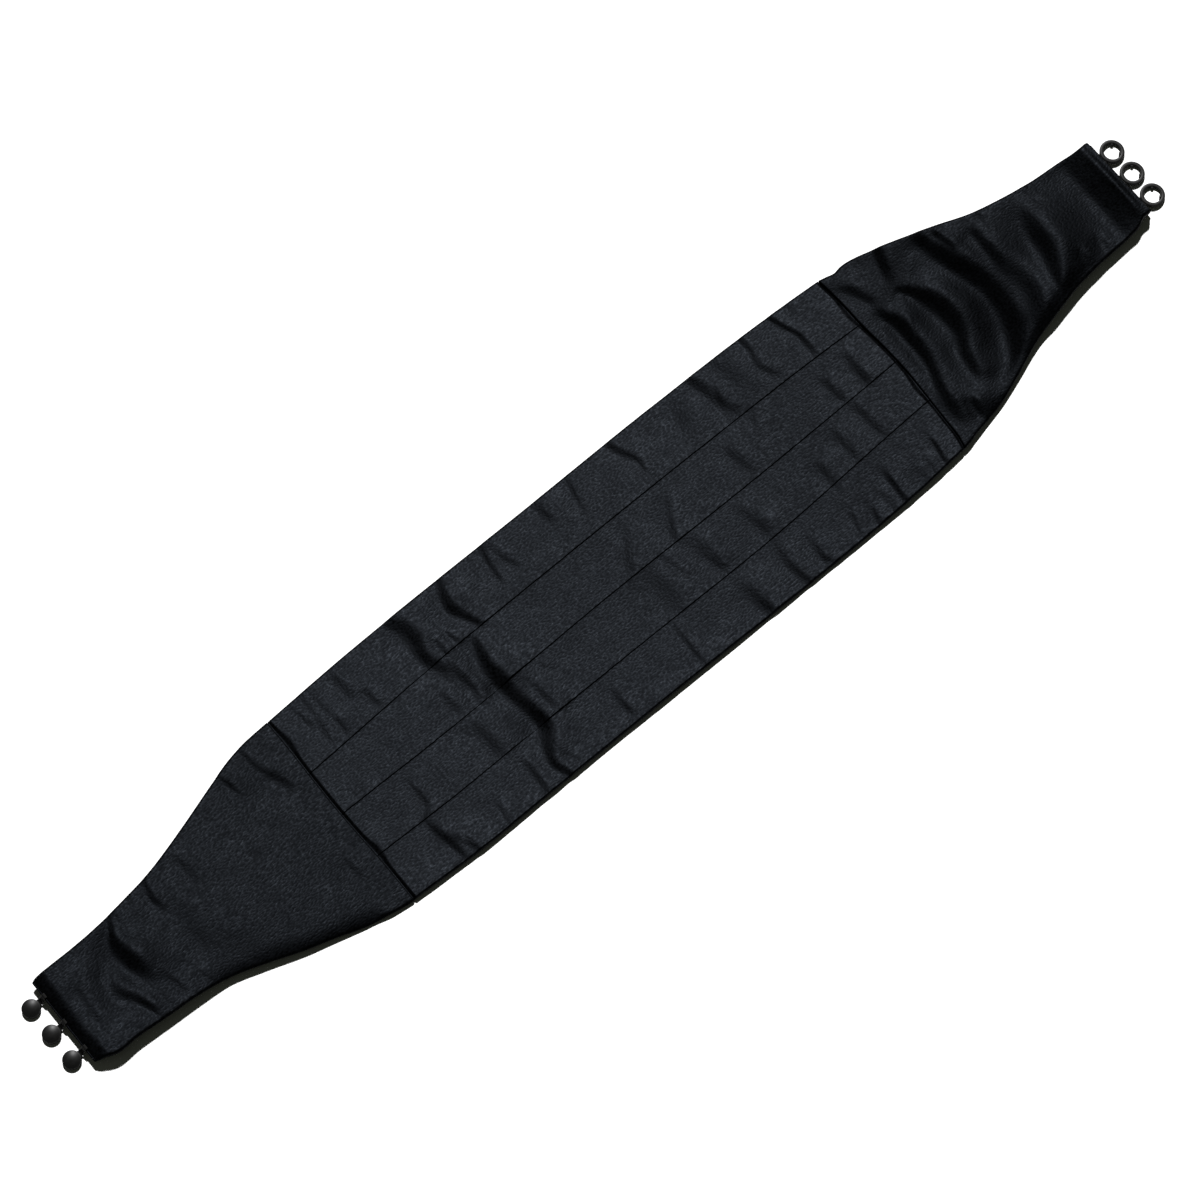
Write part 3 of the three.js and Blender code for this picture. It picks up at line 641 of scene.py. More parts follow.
def front_section(x):
    """Points across the front at every x: y and z, each of shape (points, places)."""
    along = (x - STUD_SEAM) / FRONT_LENGTH
    top = FRONT_HALF * column(FRONT_OUTLINE, "top", along)
    bottom = -FRONT_HALF * column(FRONT_OUTLINE, "bottom", along)
    folds = [top + (bottom - top) * column(PLEATS, name, along) for name in ("first", "second", "third")]
    low = FRONT_THICKNESS - PLEAT_STEP
    crown = FRONT_THICKNESS + BEAD_HEIGHT
    rows = []
    for angle in np.radians(QUARTER):
        rows.append((top - EDGE_ROUND * (1 - math.cos(angle)), low * (0.5 + 0.5 * math.sin(angle))))
    starts = [top - EDGE_ROUND, *folds]
    ends = [*folds, bottom + EDGE_ROUND]
    for number, (start, end) in enumerate(zip(starts, ends)):
        last = number == len(folds)
        stop = end if last else end + LIP_RADIUS
        for share in 1 - (1 - np.linspace(0, 1, PLEAT_POINTS)) ** PLEAT_CROWDING:
            y = start + (stop - start) * share
            bead = BEAD_HEIGHT * np.exp(-(((y - end) / BEAD_WIDTH) ** 2))
            rows.append((y, low + PLEAT_STEP * share + bead))
        if last:
            continue
        for angle in np.radians(LIP_TURNS):
            nose = end + LIP_RADIUS * (1 - math.sin(angle))
            rows.append((nose, crown - LIP_RADIUS * (1 - math.cos(angle))))
        under = crown - 2 * LIP_RADIUS
        rows.append((end + SLIT_DEPTH, under))
        rows.append((end + SLIT_DEPTH, under - SLIT_HEIGHT))
        rows.append((end + LIP_RADIUS, (under - SLIT_HEIGHT + low) / 2))
    for angle in np.radians(QUARTER[::-1]):
        rows.append((bottom + EDGE_ROUND * (1 - math.cos(angle)), crown * (0.5 + 0.5 * math.sin(angle))))
    for angle in np.radians(UNDER_TURNS):
        rows.append((bottom + EDGE_ROUND * (1 - math.cos(angle)), crown * (0.5 - 0.5 * math.sin(angle))))
    for share in np.linspace(0, 1, UNDER_POINTS):
        rows.append((bottom + EDGE_ROUND + (top - bottom - 2 * EDGE_ROUND) * share, 0.0))
    for angle in np.radians(UNDER_TURNS[::-1]):
        rows.append((top - EDGE_ROUND * (1 - math.cos(angle)), low * (0.5 - 0.5 * math.sin(angle))))
    ys = np.array([np.broadcast_to(y, x.shape) for y, _ in rows])
    zs = np.array([np.broadcast_to(z, x.shape) for _, z in rows])
    return ys, zs, top, bottom


print(len(front_section(np.zeros(1))[0]), "points round the front")

# %% [markdown]
# The two seams are not ruler straight. Each wanders by a millimetre or two, and the tail's folded edge
# and the end of the front follow it together. Beside the seam the front dips into a narrow groove, wider
# in a few places, which shows as the dark line along each tail.

# %% Seams
Seam = namedtuple("Seam", "x ys shifts wide_ys")
STUD_SIDE_SEAM = Seam(
    STUD_SEAM,
    (-70, -40, -18, 0, 20, 48, 70),
    (0.3, 0.4, -0.2, -0.5, -0.2, 0.5, 0.4),
    (48, -34),
)
RING_SIDE_SEAM = Seam(
    RING_SEAM,
    (-64, -60, -45, -30, -10, 10, 30, 50, 66),
    (-3.2, -2.2, -0.9, 0.1, 1.3, 1.0, -0.2, -0.5, -1.8),
    (40, -20),
)
SEAM_FADE = 24.0
GROOVE_DEPTH = 1.1
GROOVE_WIDTH = 1.9
GROOVE_EXTRA = 2.1
WIDE_REACH = 8


def wander(x, y):
    """How far the cloth near either seam is moved along x."""
    total = 0
    for seam in (STUD_SIDE_SEAM, RING_SIDE_SEAM):
        total = total + curve(y, seam.ys, seam.shifts) * np.exp(-(((x - seam.x) / SEAM_FADE) ** 2))
    return total


def groove_width(seam, y):
    wide_places = [GROOVE_EXTRA * np.exp(-(((y - wide) / WIDE_REACH) ** 2)) for wide in seam.wide_ys]
    return GROOVE_WIDTH + sum(wide_places)


print("the seams wander by up to", max(map(abs, STUD_SIDE_SEAM.shifts + RING_SIDE_SEAM.shifts)), "mm")

# %% Make the front
FRONT_STEP = 1.15
SEAM_STEPS = np.array([0, 0.3, 0.6, 0.95, 1.35, 1.8, 2.3, 2.9])
PAST_SEAM_STEPS = 3.6
FLAT_SHARE = 0.72
GROOVE_CALM = 0.6
THINNEST_SHARE = 0.3
TUCK_START = 0.5
TUCK_SHOWN = 6.0
TUCK_NARROWER = 1.8


def make_front():
    first, last = STUD_SEAM + GAP, RING_SEAM - GAP
    between = np.linspace(first + PAST_SEAM_STEPS, last - PAST_SEAM_STEPS, int(FRONT_LENGTH / FRONT_STEP))
    x = np.concatenate([first + SEAM_STEPS, between, (last - SEAM_STEPS)[::-1]])
    ys, zs, top, bottom = front_section(x)
    lift = RING_SEAM_LIFT * smooth_step((x - STUD_SEAM) / FRONT_LENGTH, FLAT_SHARE, 1.0)
    relief = front_relief(x[None, :], ys, top, bottom)
    groove = np.zeros(ys.shape)
    for seam, away in ((STUD_SIDE_SEAM, x - first), (RING_SIDE_SEAM, last - x)):
        groove = np.maximum(groove, 1 - smooth_step(away[None, :], 0, groove_width(seam, ys)))
    share = 1 + (relief * (1 - GROOVE_CALM * groove) - GROOVE_DEPTH * groove) / FRONT_THICKNESS
    height = lift + zs * np.maximum(share, THINNEST_SHARE)
    points = np.stack([x + wander(x, ys), ys, height], axis=-1).transpose(1, 0, 2)
    tucked = []
    for edge, out in ((0, -1), (-1, 1)):
        middle = (top[edge] + bottom[edge]) / 2
        shrink = 1 - TUCK_NARROWER / ((top[edge] - bottom[edge]) / 2)
        for depth in (TUCK_START, TUCK_SHOWN):
            ring = points[edge].copy()
            ring[:, 0] += out * (depth + GAP)
            ring[:, 1] = middle + (ring[:, 1] - middle) * shrink
            base = lift[edge] + TAIL_PLY + GAP
            ring[:, 2] = base + (zs[:, edge] / FRONT_THICKNESS) * (TAIL_THICKNESS - 2 * (TAIL_PLY + GAP))
            tucked.append(ring)
    sections = np.concatenate([[tucked[1], tucked[0]], points, [tucked[2], tucked[3]]])
    made = skin("pleated_front_cloth", sections, front_satin)
    print("front:", len(made.data.vertices), "points")
    return made


front = make_front()
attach(front, "root")
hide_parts("pleated_front")

# %% [markdown]
# ## The tails
#
# Each tail is a flat tube of satin, folded along its top and bottom edges. At the seam its two layers
# hold the end of the front between them, and at the other end they close on the straps of the studs or
# the tabs of the rings, with the lower layer showing as a narrow lip. Rings of points run from inside the
# mouth at the seam, round its lips, along the outside and over the end.

# %% Outlines and rise of the tails
STUD_TAIL_OUTLINE = [
    Outline(0.0, 65.2, 69.3),
    Outline(0.03, 64.9, 68.6),
    Outline(0.09, 64.0, 66.4),
    Outline(0.15, 61.9, 63.9),
    Outline(0.24, 56.4, 58.1),
    Outline(0.34, 49.9, 52.1),
    Outline(0.44, 43.8, 44.8),
    Outline(0.55, 38.1, 37.9),
    Outline(0.65, 35.0, 34.9),
    Outline(0.75, 32.6, 33.6),
    Outline(0.86, 31.5, 32.0),
    Outline(0.94, 31.5, 31.6),
    Outline(0.965, 31.5, 29.6),
    Outline(0.99, 31.1, 28.0),
    Outline(1.0, 30.4, 27.2),
]
RING_TAIL_OUTLINE = [
    Outline(0.0, 67.7, 66.1),
    Outline(0.03, 66.4, 65.2),
    Outline(0.053, 65.3, 63.9),
    Outline(0.08, 66.0, 62.8),
    Outline(0.187, 62.1, 58.1),
    Outline(0.27, 57.3, 52.8),
    Outline(0.41, 48.4, 43.2),
    Outline(0.52, 41.2, 38.3),
    Outline(0.63, 36.8, 33.9),
    Outline(0.742, 33.9, 31.5),
    Outline(0.88, 32.4, 29.9),
    Outline(0.926, 31.4, 28.8),
    Outline(0.955, 31.2, 26.4),
    Outline(0.988, 31.0, 25.9),
    Outline(1.0, 29.4, 24.8),
]
Rise = namedtuple("Rise", "along lift tilt")
STUD_TAIL_RISE = [
    Rise(0.0, 0.0, 0.0),
    Rise(0.07, 0.3, 0.0),
    Rise(0.27, 2.3, 0.0),
    Rise(0.53, 3.8, 0.0),
    Rise(0.76, 4.6, 0.0),
    Rise(0.92, 4.7, 0.0),
    Rise(0.965, 4.2, 0.0),
    Rise(1.0, 4.2, 0.0),
]
RING_TAIL_RISE = [
    Rise(0.0, 2.0, 0.0),
    Rise(0.07, 2.1, 0.0),
    Rise(0.38, 3.5, 0.035),
    Rise(0.63, 4.9, 0.035),
    Rise(0.82, 4.4, 0.015),
    Rise(0.965, 3.4, 0.0),
    Rise(1.0, 3.2, 0.0),
]
for rise in (STUD_TAIL_RISE, RING_TAIL_RISE):
    print("a tail rises by up to", max(row.lift for row in rise), "mm")

# %% Creases of the tails
# Again each point is (x, y, width, slope in degrees).
STUD_TAIL_CREASES = [
    [(-379, 7, 2.2, 5), (-380, -9, 2.2, 5)],
    [
        (-340, 33, 1.4, 9), (-343, 27, 1.8, 12), (-347, 19, 3.6, 14), (-347, 9, 5.0, 16), (-345, -2, 5.0, 14),
        (-344, -8, 3.6, 6),
    ],
    [(-361, 5, 3.2, 7), (-362, -4, 4.0, 10), (-357, -14, 2.6, 12), (-354, -22, 2.0, 13), (-352, -31, 1.6, 9)],
    [(-337, 29, 1.4, 6), (-337, 21, 1.4, 5)],
    [(-326, 31, 1.6, 4), (-327, 23, 1.6, 4)],
    [(-313, 35, 1.4, 7), (-315, 25, 2.0, 9), (-314, 19, 1.6, 5)],
    [(-307, 7, 5.0, 1), (-307, -13, 5.0, 2)],
    [(-290, 32, 2.2, 4), (-289, 21, 3.0, 3)],
    [(-335, -16, 1.6, 5), (-333, -26, 1.6, 5)],
    [(-344, -23, 1.4, 5), (-343, -31, 1.4, 5)],
    [(-366, -28, 1.6, 6), (-366, -31, 1.6, 6)],
    [(-319, -28, 1.4, 5), (-318, -33, 1.4, 4)],
    [(-243, 57, 1.6, 8), (-241, 49, 2.2, 10), (-240, 43, 2.0, 5)],
    [(-224, 59, 1.5, 6), (-223, 49, 2.0, 7), (-221, 43, 2.0, 3)],
    [(-218, 37, 3.0, 7), (-215, 29, 3.0, 5)],
    [(-217, -30, 2.2, 5), (-217, -36, 2.2, 5)],
    [(-300, 4, 9.0, 0), (-292, -24, 9.0, 1)],
]
RING_TAIL_CREASES = [
    [(217, 60, 2.6, 8), (225, 50, 3.0, 10), (230, 40, 2.4, 7)],
    [
        (230, 27, 2.6, 10), (233, 18, 3.8, 15), (233, 6, 4.2, 15), (231, -12, 4.2, 13), (226, -26, 4.0, 13),
        (223, -36, 4.4, 16), (223, -47, 3.6, 14),
    ],
    [
        (238, 30, 1.2, 6), (246, 33, 1.5, 10), (252, 27, 2.8, 14), (258, 14, 4.8, 17), (260, 2, 5.4, 16),
        (258, -10, 5.0, 13), (252, -22, 4.2, 14), (249, -34, 3.4, 10),
    ],
    [(252, 30, 1.4, 9), (258, 34, 1.2, 8), (263, 38, 1.2, 5)],
    [(253, 58, 2.4, 11), (250, 50, 2.6, 12), (248, 44, 2.2, 5)],
    [
        (277, 46, 3.4, 13), (280, 34, 4.2, 17), (285, 18, 5.2, 19), (289, 2, 5.6, 19), (288, -16, 6.4, 19),
        (283, -32, 7.4, 19), (275, -44, 6.6, 18), (261, -53, 4.6, 14),
    ],
    [(303, 12, 6.0, 6), (307, -2, 7.5, 12), (307, -18, 8.0, 15), (300, -34, 6.5, 14)],
    [(286, 43, 1.8, 14), (288, 34, 2.0, 11)],
    [(304, 29, 3.0, 11), (304, 16, 3.4, 11), (302, 4, 3.2, 5)],
    [
        (334, 16, 5.0, 10), (332, 5, 6.4, 17), (330, -6, 6.4, 18), (325, -18, 5.0, 17), (321, -27, 2.8, 16),
        (320, -33, 2.0, 13),
    ],
    [(236, -49, 2.4, 15), (236, -57, 2.4, 15)],
    [(345, -22, 2.0, 8), (344, -29, 2.0, 8)],
    [(360, -22, 2.2, 9), (359, -28, 2.2, 8)],
    [(313, 34, 1.8, 5), (312, 26, 1.8, 5)],
    [(344, 31, 1.3, 6), (347, 25, 1.3, 5)],
    [(385, 26, 4.5, 7), (387, 0, 5.0, 12), (386, -22, 4.5, 9)],
    [(376, 26, 5.0, 8), (377, 0, 5.5, 12), (376, -22, 5.0, 9)],
]
print(len(STUD_TAIL_CREASES), "and", len(RING_TAIL_CREASES), "creases on the tails")

# %% Section of a tail
# roll: length over which the upper layer comes down at the end. bulge, swell: height and length of the
# puffed part before it. soft_from, soft_to: the stretch where the lower edge is rounded over.
Tail = namedtuple("Tail", "name side seam end outline rise creases seed roll bulge swell soft_from soft_to")
TAILS = [
    Tail(
        "stud_tail_cloth", -1, STUD_SEAM, STUD_END, STUD_TAIL_OUTLINE, STUD_TAIL_RISE, STUD_TAIL_CREASES,
        seed=20, roll=8.0, bulge=1.3, swell=36.0, soft_from=28.0, soft_to=120.0,
    ),
    Tail(
        "ring_tail_cloth", 1, RING_SEAM, RING_END, RING_TAIL_OUTLINE, RING_TAIL_RISE, RING_TAIL_CREASES,
        seed=30, roll=1.6, bulge=3.6, swell=38.0, soft_from=25.0, soft_to=92.0,
    ),
]
TAIL_STEP = 1.05
TAIL_COLUMNS = 96
TAIL_UNDER_COLUMNS = 30
TAIL_ROUND = 1.6
TAIL_TURNS = np.radians((0, 22, 45, 68))


def tail_section(tail, distance):
    """Points across a tail at every distance from its seam: y, and the share of its thickness."""
    along = distance / abs(tail.end - tail.seam)
    top = column(tail.outline, "top", along)
    bottom = -column(tail.outline, "bottom", along)
    width = top - bottom - 2 * TAIL_ROUND
    upper = [(top - TAIL_ROUND * (1 - math.cos(t)), 0.5 + 0.5 * math.sin(t)) for t in TAIL_TURNS]
    upper += [(top - TAIL_ROUND - width * share, 1.0) for share in np.linspace(0, 1, TAIL_COLUMNS)]
    upper += [(bottom + TAIL_ROUND * (1 - math.cos(t)), 0.5 + 0.5 * math.sin(t)) for t in TAIL_TURNS[::-1]]
    lower = [(bottom + TAIL_ROUND * (1 - math.cos(t)), 0.5 - 0.5 * math.sin(t)) for t in TAIL_TURNS[1:]]
    lower += [(bottom + TAIL_ROUND + width * share, 0.0) for share in np.linspace(0, 1, TAIL_UNDER_COLUMNS)]
    lower += [(top - TAIL_ROUND * (1 - math.cos(t)), 0.5 - 0.5 * math.sin(t)) for t in TAIL_TURNS[:0:-1]]
    ys = np.array([y for y, _ in upper + lower])
    shares = np.array([share for _, share in upper + lower])[:, None]
    return ys, shares, top, bottom


print(len(tail_section(TAILS[0], np.zeros(1))[0]), "points round a tail")

# %% Relief of a tail
# The relief is calm near the seam, over the end and along the lower edge, which is rounded over by
# SOFT_EDGE_FALL for most of its length.
TAIL_RIPPLES = [Ripple(0.16, 26, 34, 0), Ripple(0.08, 10, 13, 1)]
FINE_RIPPLES = [Ripple(0.02, 3.5, 5, 2)]
SEAM_CALM = (2.0, 14.0)
END_CALM = (9.0, 3.0)
SOFT_EDGE_FALL = 1.5
SOFT_EDGE_WIDTH = 5.0
SOFT_EDGE_POWER = 1.3
SOFT_EDGE_START = 15
SOFT_EDGE_END = (15, 10)
EDGE_CALM = 0.6
EDGE_CALM_WIDTH = 6
FOLDS_AT_SEAM = 0.35
PULL_SHARE = 0.7


def tail_relief(tail, distance, y, top, bottom):
    x = tail.seam + tail.side * distance
    length = abs(tail.end - tail.seam)
    at_seam = smooth_step(distance, *SEAM_CALM)
    at_end = 1 - smooth_step(distance, length - END_CALM[0], length - END_CALM[1])
    soft = ripples(x, y, TAIL_RIPPLES, tail.seed)
    fine = ripples(x, y, FINE_RIPPLES, tail.seed)
    pulls = puckers(x, y, top, tail.seed + 3) + puckers(x, y, bottom, tail.seed + 4)
    calm = 1 - EDGE_CALM * np.exp(-(((y - bottom) / EDGE_CALM_WIDTH) ** 2))
    folds = crease_height(tail.creases, x, y) * calm * (FOLDS_AT_SEAM + (1 - FOLDS_AT_SEAM) * at_seam)
    begun = smooth_step(distance, tail.soft_from - SOFT_EDGE_START, tail.soft_from)
    ended = smooth_step(distance, tail.soft_to - SOFT_EDGE_END[0], tail.soft_to + SOFT_EDGE_END[1])
    near = np.exp(-(np.maximum(y - bottom, 0) / SOFT_EDGE_WIDTH) ** SOFT_EDGE_POWER)
    fall = -SOFT_EDGE_FALL * (begun * (1 - ended)) * near
    return folds * at_end + (soft * at_seam + PULL_SHARE * pulls + fall) * at_end + fine


print("lower edges of the tails rounded over by", SOFT_EDGE_FALL, "mm")

# %% [markdown]
# The end of a tail is drawn in rings too. The upper layer rolls down over the last few millimetres, and
# leaves a thin dark gap before the flat lip of the lower layer.

# %% Rings of points along a tail
Ring = namedtuple("Ring", "distance base thickness inset")
LIP_LENGTH = 1.3
LIP_THICKNESS = 1.05
ROLL_FOOT = 1.75
MOUTH = TAIL_THICKNESS - 2 * TAIL_PLY


def tail_rings(tail):
    length = abs(tail.end - tail.seam)
    rings = [
        Ring(TUCK_SHOWN + 3, TAIL_PLY, MOUTH, 1.2),
        Ring(0.5, TAIL_PLY, MOUTH, 1.2),
        Ring(0.12, TAIL_PLY - 0.12, MOUTH + 0.25, 1.0),
        Ring(0.0, TAIL_PLY - 0.35, MOUTH + 0.7, 0.6),
        Ring(0.1, TAIL_PLY - 0.55, MOUTH + 1.1, 0.2),
        Ring(0.35, 0.0, TAIL_THICKNESS, 0.0),
    ]
    rolled = LIP_LENGTH + tail.roll
    for distance in np.linspace(0.9, length - rolled, int((length - rolled) / TAIL_STEP)):
        extra = tail.bulge * max(1 - (length - rolled - distance) / tail.swell, 0) ** 2
        rings.append(Ring(distance, 0.0, TAIL_THICKNESS + extra, 0.0))
    full = TAIL_THICKNESS + tail.bulge
    for share in (0.92, 0.84, 0.75, 0.66, 0.57, 0.48, 0.39, 0.3, 0.22, 0.15, 0.09, 0.04):
        height = ROLL_FOOT + (full - ROLL_FOOT) * math.sin(math.pi / 2 * share)
        rings.append(Ring(length - LIP_LENGTH - tail.roll * share, 0.0, height, 0.0))
    for left, base, thickness, inset in (
        (LIP_LENGTH + 0.1, 0.0, 1.6, 0.02),
        (LIP_LENGTH + 0.02, 0.0, 1.3, 0.05),
        (LIP_LENGTH + 0.06, 0.0, 0.9, 0.05),
        (LIP_LENGTH - 0.1, 0.0, 0.85, 0.05),
        (LIP_LENGTH - 0.3, 0.0, LIP_THICKNESS, 0.05),
        (0.7, 0.0, LIP_THICKNESS, 0.05),
        (0.35, 0.05, 0.95, 0.1),
        (0.12, 0.12, 0.75, 0.2),
        (0.0, 0.35, 0.35, 0.4),
    ):
        rings.append(Ring(length - left, base, thickness, inset))
    return rings


print("rings along the tails:", [len(tail_rings(tail)) for tail in TAILS])

# %% Make the tails
UNDER_RELIEF = 0.8
UNDER_CLEAR = 0.1


def make_tail(tail):
    rings = tail_rings(tail)
    distance, base, thickness, inset = (np.array(part) for part in zip(*rings))
    ys, shares, top, bottom = tail_section(tail, distance)
    middle = (top + bottom) / 2
    ys = middle + (ys - middle) * (1 - inset / ((top - bottom) / 2))
    along = distance / abs(tail.end - tail.seam)
    lift = column(tail.rise, "lift", along) + column(tail.rise, "tilt", along) * (ys - bottom)
    relief = tail_relief(tail, distance[None, :], ys, top, bottom)
    under = np.maximum(relief * UNDER_RELIEF, UNDER_CLEAR - lift)
    relief = relief * shares + under * (1 - shares)
    x = tail.seam + tail.side * distance
    points = np.stack([x + wander(x, ys), ys, lift + base + shares * thickness + relief], axis=-1)
    made = skin(tail.name, points.transpose(1, 0, 2), shaded_tail_satin)
    print(tail.name, len(made.data.vertices), "points")
    return made


for tail in TAILS:
    cloth = make_tail(tail)
    solid = tail.name.replace("_cloth", "")
    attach(cloth, "root")
    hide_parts(solid)

# %% [markdown]
# ## Studs and rings
#
# Both are black moulded plastic with a soft gloss. A turned profile gives the body of each, and the strap
# or tab is a separate bar that a union fuses to it, as the mould does.


# %% Plastic
PLASTIC_ROUGHNESS = 0.4


def plastic_sockets(start, place):
    haze = start.noise(place, 400.0, 3.0)
    pits = start.noise(place, 2500.0, 2.0)
    return {
        "Base Color": start.shades(haze, (0.003, 0.003, 0.003, 1), (0.006, 0.006, 0.0058, 1)),
        "Roughness": (haze - 0.5) * 0.16 + PLASTIC_ROUGHNESS,
        "Specular IOR Level": 0.12,
        "Normal": start.node("ShaderNodeBump", None, {"Strength": 0.4, "Distance": 0.00002, "Height": pits}),
    }


plastic = finish("moulded_plastic", plastic_sockets)
print("plastic of roughness", PLASTIC_ROUGHNESS)


# %% Turned and barred shapes
def circle_rings(profile, sides):
    """Rings of points about Z, one for each (radius, height) in mm."""
    angles = np.linspace(0, 2 * math.pi, sides, endpoint=False)
    flat = np.stack([np.cos(angles), np.sin(angles)], axis=-1)
    return np.array([np.column_stack([radius * flat, np.full(sides, height)]) for radius, height in profile])


def turned(name, profile, sides=72):
    """A solid of revolution, from a profile that starts and ends near the axis."""
    return skin(name, circle_rings(profile, sides), plastic, sharp=40)


def hoop(name, profile, sides=96):
    """A ring with a hole, from a profile that closes on itself."""
    rings = circle_rings(profile, sides)
    corner = np.arange(rings.shape[0] * sides).reshape(-1, sides)
    after, beside = np.roll(corner, -1, axis=0), np.roll(corner, -1, axis=1)
    faces = np.stack([corner, beside, np.roll(after, -1, axis=1), after], axis=-1).reshape(-1, 4)
    return new_object(name, rings.reshape(-1, 3), faces.tolist(), plastic, 50)


BAR_CORNER = 0.25
BAR_SUPPORT = 0.12


def bar(name, middle, sizes):
    """A bar with rounded corners along points (x, z). sizes: (width, thickness) at each point."""
    rings = []
    for (x, z), (width, thick) in zip(middle, sizes):
        ring = []
        for side_y, side_z in ((1, 1), (-1, 1), (-1, -1), (1, -1)):
            y, up = width / 2 - BAR_CORNER, thick / 2 - BAR_CORNER
            bend = [(y + BAR_CORNER, up - BAR_SUPPORT)]
            for angle in np.radians((0, 30, 60, 90)):
                bend.append((y + BAR_CORNER * math.cos(angle), up + BAR_CORNER * math.sin(angle)))
            bend.append((y - BAR_SUPPORT, up + BAR_CORNER))
            if side_y * side_z < 0:
                bend.reverse()
            ring += [(x, side_y * across, z + side_z * height) for across, height in bend]
        rings.append(ring)
    return skin(name, rings, plastic, sharp=50)


# %% Fusing bars to a body
def union(target, others, sharp=40):
    """Fuses bars to a body for good, so that no modifier is left on it."""
    for other in others:
        fuse = target.modifiers.new("fuse", "BOOLEAN")
        fuse.operation = "UNION"
        fuse.solver = "EXACT"
        fuse.object = other
        graph = bpy.context.evaluated_depsgraph_get()
        target.data = bpy.data.meshes.new_from_object(target.evaluated_get(graph))
        target.modifiers.clear()
        bpy.data.objects.remove(other)
    target.data.shade_smooth()
    target.data.set_sharp_from_angle(angle=math.radians(sharp))
    return target


print("bars have corners of", BAR_CORNER, "mm")

# %% Stud
STUD_DISTANCE = 9.0
STUD_BASE = 5.5
STUD_CAP = 5.45
STUD_NECK = 4.8
CAP_EDGE = 2.25
STRAP_WIDTH = 3.2
STRAP_WIDER = 1.2
STRAP_THICKNESS = 1.0
STRAP_TUCK = 2.2
STRAP_STOP = 1.2
NECK_HEIGHT = 1.2


def stud_profile():
    rows = [(0.001, 0.0), (STUD_BASE - 0.35, 0.0), (STUD_BASE - 0.1, 0.1), (STUD_BASE, 0.3), (STUD_BASE, 0.7)]
    rows += [(STUD_BASE - 0.1, 0.86), (STUD_BASE - 0.3, 0.92), (STUD_NECK, 0.96), (STUD_NECK, 1.4)]
    rows += [(STUD_CAP - 0.25, 1.44), (STUD_CAP - 0.06, 1.54), (STUD_CAP, 1.72), (STUD_CAP, CAP_EDGE - 0.25)]
    rows += [(STUD_CAP - 0.1, CAP_EDGE - 0.08), (STUD_CAP - 0.35, CAP_EDGE)]
    rows += [(STUD_CAP - 0.6, CAP_EDGE + 0.02), (STUD_CAP - 0.8, CAP_EDGE + 0.1)]
    for share in np.linspace(0.06, 1, 12):
        radius = max((STUD_CAP - 0.8) * (1 - share), 0.001)
        rows.append((radius, CAP_EDGE + 0.1 + 0.85 * (1 - (1 - share) ** 2)))
    return rows


def make_stud(name, low, high):
    body = turned(name, stud_profile())
    start = high[2] - STRAP_THICKNESS / 2
    share = np.linspace(0, 1, 17)
    x = STUD_DISTANCE + STRAP_TUCK - share * (STUD_DISTANCE - STRAP_STOP)
    z = start + (NECK_HEIGHT - start) * smooth_step(share, 0.2, 0.72)
    width = STRAP_WIDTH + STRAP_WIDER * smooth_step(share, 0.4, 1)
    strap = bar("strap", list(zip(x, z)), [(w, STRAP_THICKNESS) for w in width])
    stud = union(body, [strap])
    middle = (low[1] + high[1]) / 2
    stud.data.transform(Matrix.Translation(((STUD_END - STUD_DISTANCE) * MM, middle * MM, 0)))
    return stud


print("stud", 2 * STUD_BASE, "mm across")

# %% Ring
RING_RADIUS = 7.6
RING_HOLE = 5.2
RING_THICKNESS = 1.9
RING_CORNER = 0.5
RING_GAP = 0.3
RING_TILT = math.radians(5)
TOOTH_WIDTH = 1.6
TOOTH_ANGLES = (50, -50)
TOOTH_REACH = 4.15
TAB_WIDTH = 7.0
TAB_THICKNESS = 1.0
TAB_TUCK = 2.2
TAB_LENGTH = 4.0
TAB_HOLD = 1.2


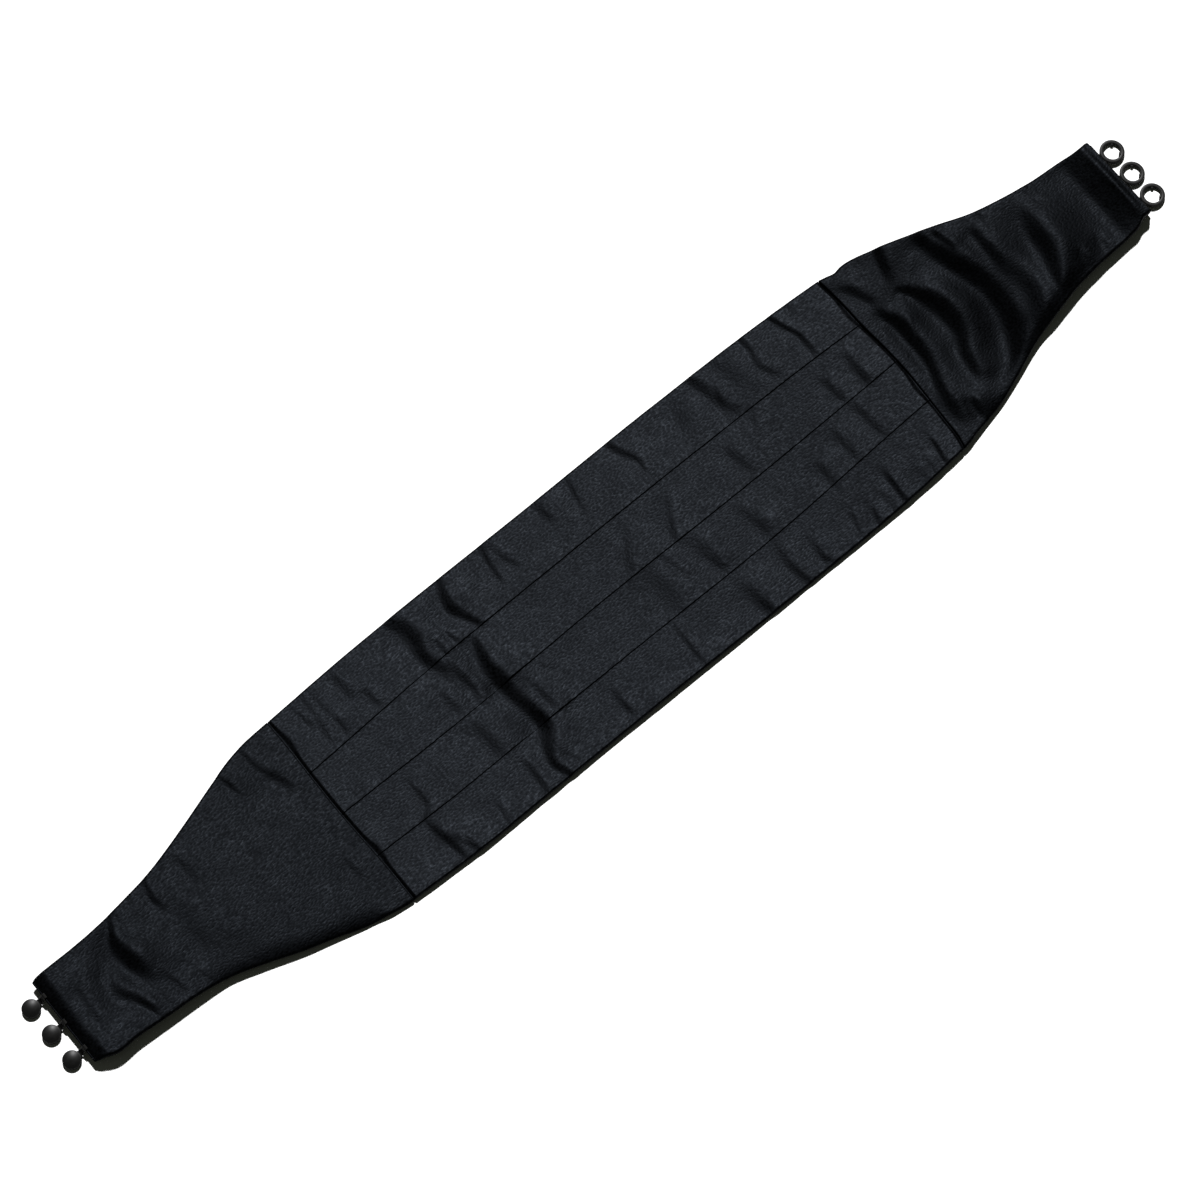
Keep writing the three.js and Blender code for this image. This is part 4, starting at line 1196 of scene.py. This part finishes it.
def ring_profile():
    """Round the section of the hoop, counter to the clock from its outer face."""
    rows = []
    half = RING_THICKNESS / 2 - RING_CORNER
    outer, inner = RING_RADIUS - RING_CORNER, RING_HOLE + RING_CORNER
    corners = ((outer, half, 0), (inner, half, 90), (inner, -half, 180), (outer, -half, 270))
    for radius, height, turn in corners:
        for angle in np.radians((turn, turn + 30, turn + 60, turn + 90)):
            rows.append((radius + RING_CORNER * math.cos(angle), height + RING_CORNER * math.sin(angle)))
    return rows


def make_ring(name, low, high):
    ring = hoop(name, ring_profile())
    teeth = []
    for degrees in TOOTH_ANGLES:
        reach = (TOOTH_REACH, TOOTH_REACH + 0.12, TOOTH_REACH + 0.5, RING_HOLE, RING_HOLE + 0.9)
        sizes = [(TOOTH_WIDTH - 0.25, 0.9), (TOOTH_WIDTH, 1.1), (TOOTH_WIDTH, 1.15), (TOOTH_WIDTH + 0.1, 1.2)]
        tooth = bar("tooth", [(x, 0.0) for x in reach], sizes + [(TOOTH_WIDTH + 0.2, 1.2)])
        tooth.data.transform(Matrix.Rotation(math.radians(degrees), 4, "Z"))
        teeth.append(tooth)
    union(ring, teeth)
    ring.data.transform(Matrix.Rotation(RING_TILT, 4, "Y"))
    centre_x = RING_GAP + RING_RADIUS * math.cos(RING_TILT)
    lean, upright = math.sin(RING_TILT), math.cos(RING_TILT)
    centre_z = (RING_RADIUS - RING_CORNER) * lean + (RING_THICKNESS / 2 - RING_CORNER) * upright + RING_CORNER
    ring.data.transform(Matrix.Translation((centre_x * MM, 0, centre_z * MM)))
    start = RING_TAIL_RISE[-1].lift + TAIL_THICKNESS / 2
    near_z = centre_z + (RING_RADIUS - TAB_HOLD) * lean
    share = np.linspace(0, 1, 11)
    x = -TAB_TUCK + share * TAB_LENGTH
    z = start + (near_z - start) * smooth_step(share, 0.15, 0.85)
    tab = bar("tab", list(zip(x, z)), [(TAB_WIDTH, TAB_THICKNESS)] * len(x))
    union(ring, [tab])
    middle = (low[1] + high[1]) / 2
    ring.data.transform(Matrix.Translation((RING_END * MM, middle * MM, 0)))
    return ring


print("ring", 2 * RING_RADIUS, "mm across, with a hole of", 2 * RING_HOLE, "mm")

# %% Make the studs and rings
for number in (1, 2, 3):
    for kind, make in (("stud", make_stud), ("ring", make_ring)):
        solid = f"{kind}_{number}"
        piece = make(f"{kind}_moulding_{number}", *box_mm(solid))
        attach(piece, "root")
        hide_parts(solid)
        print(piece.name, len(piece.data.vertices), "points")
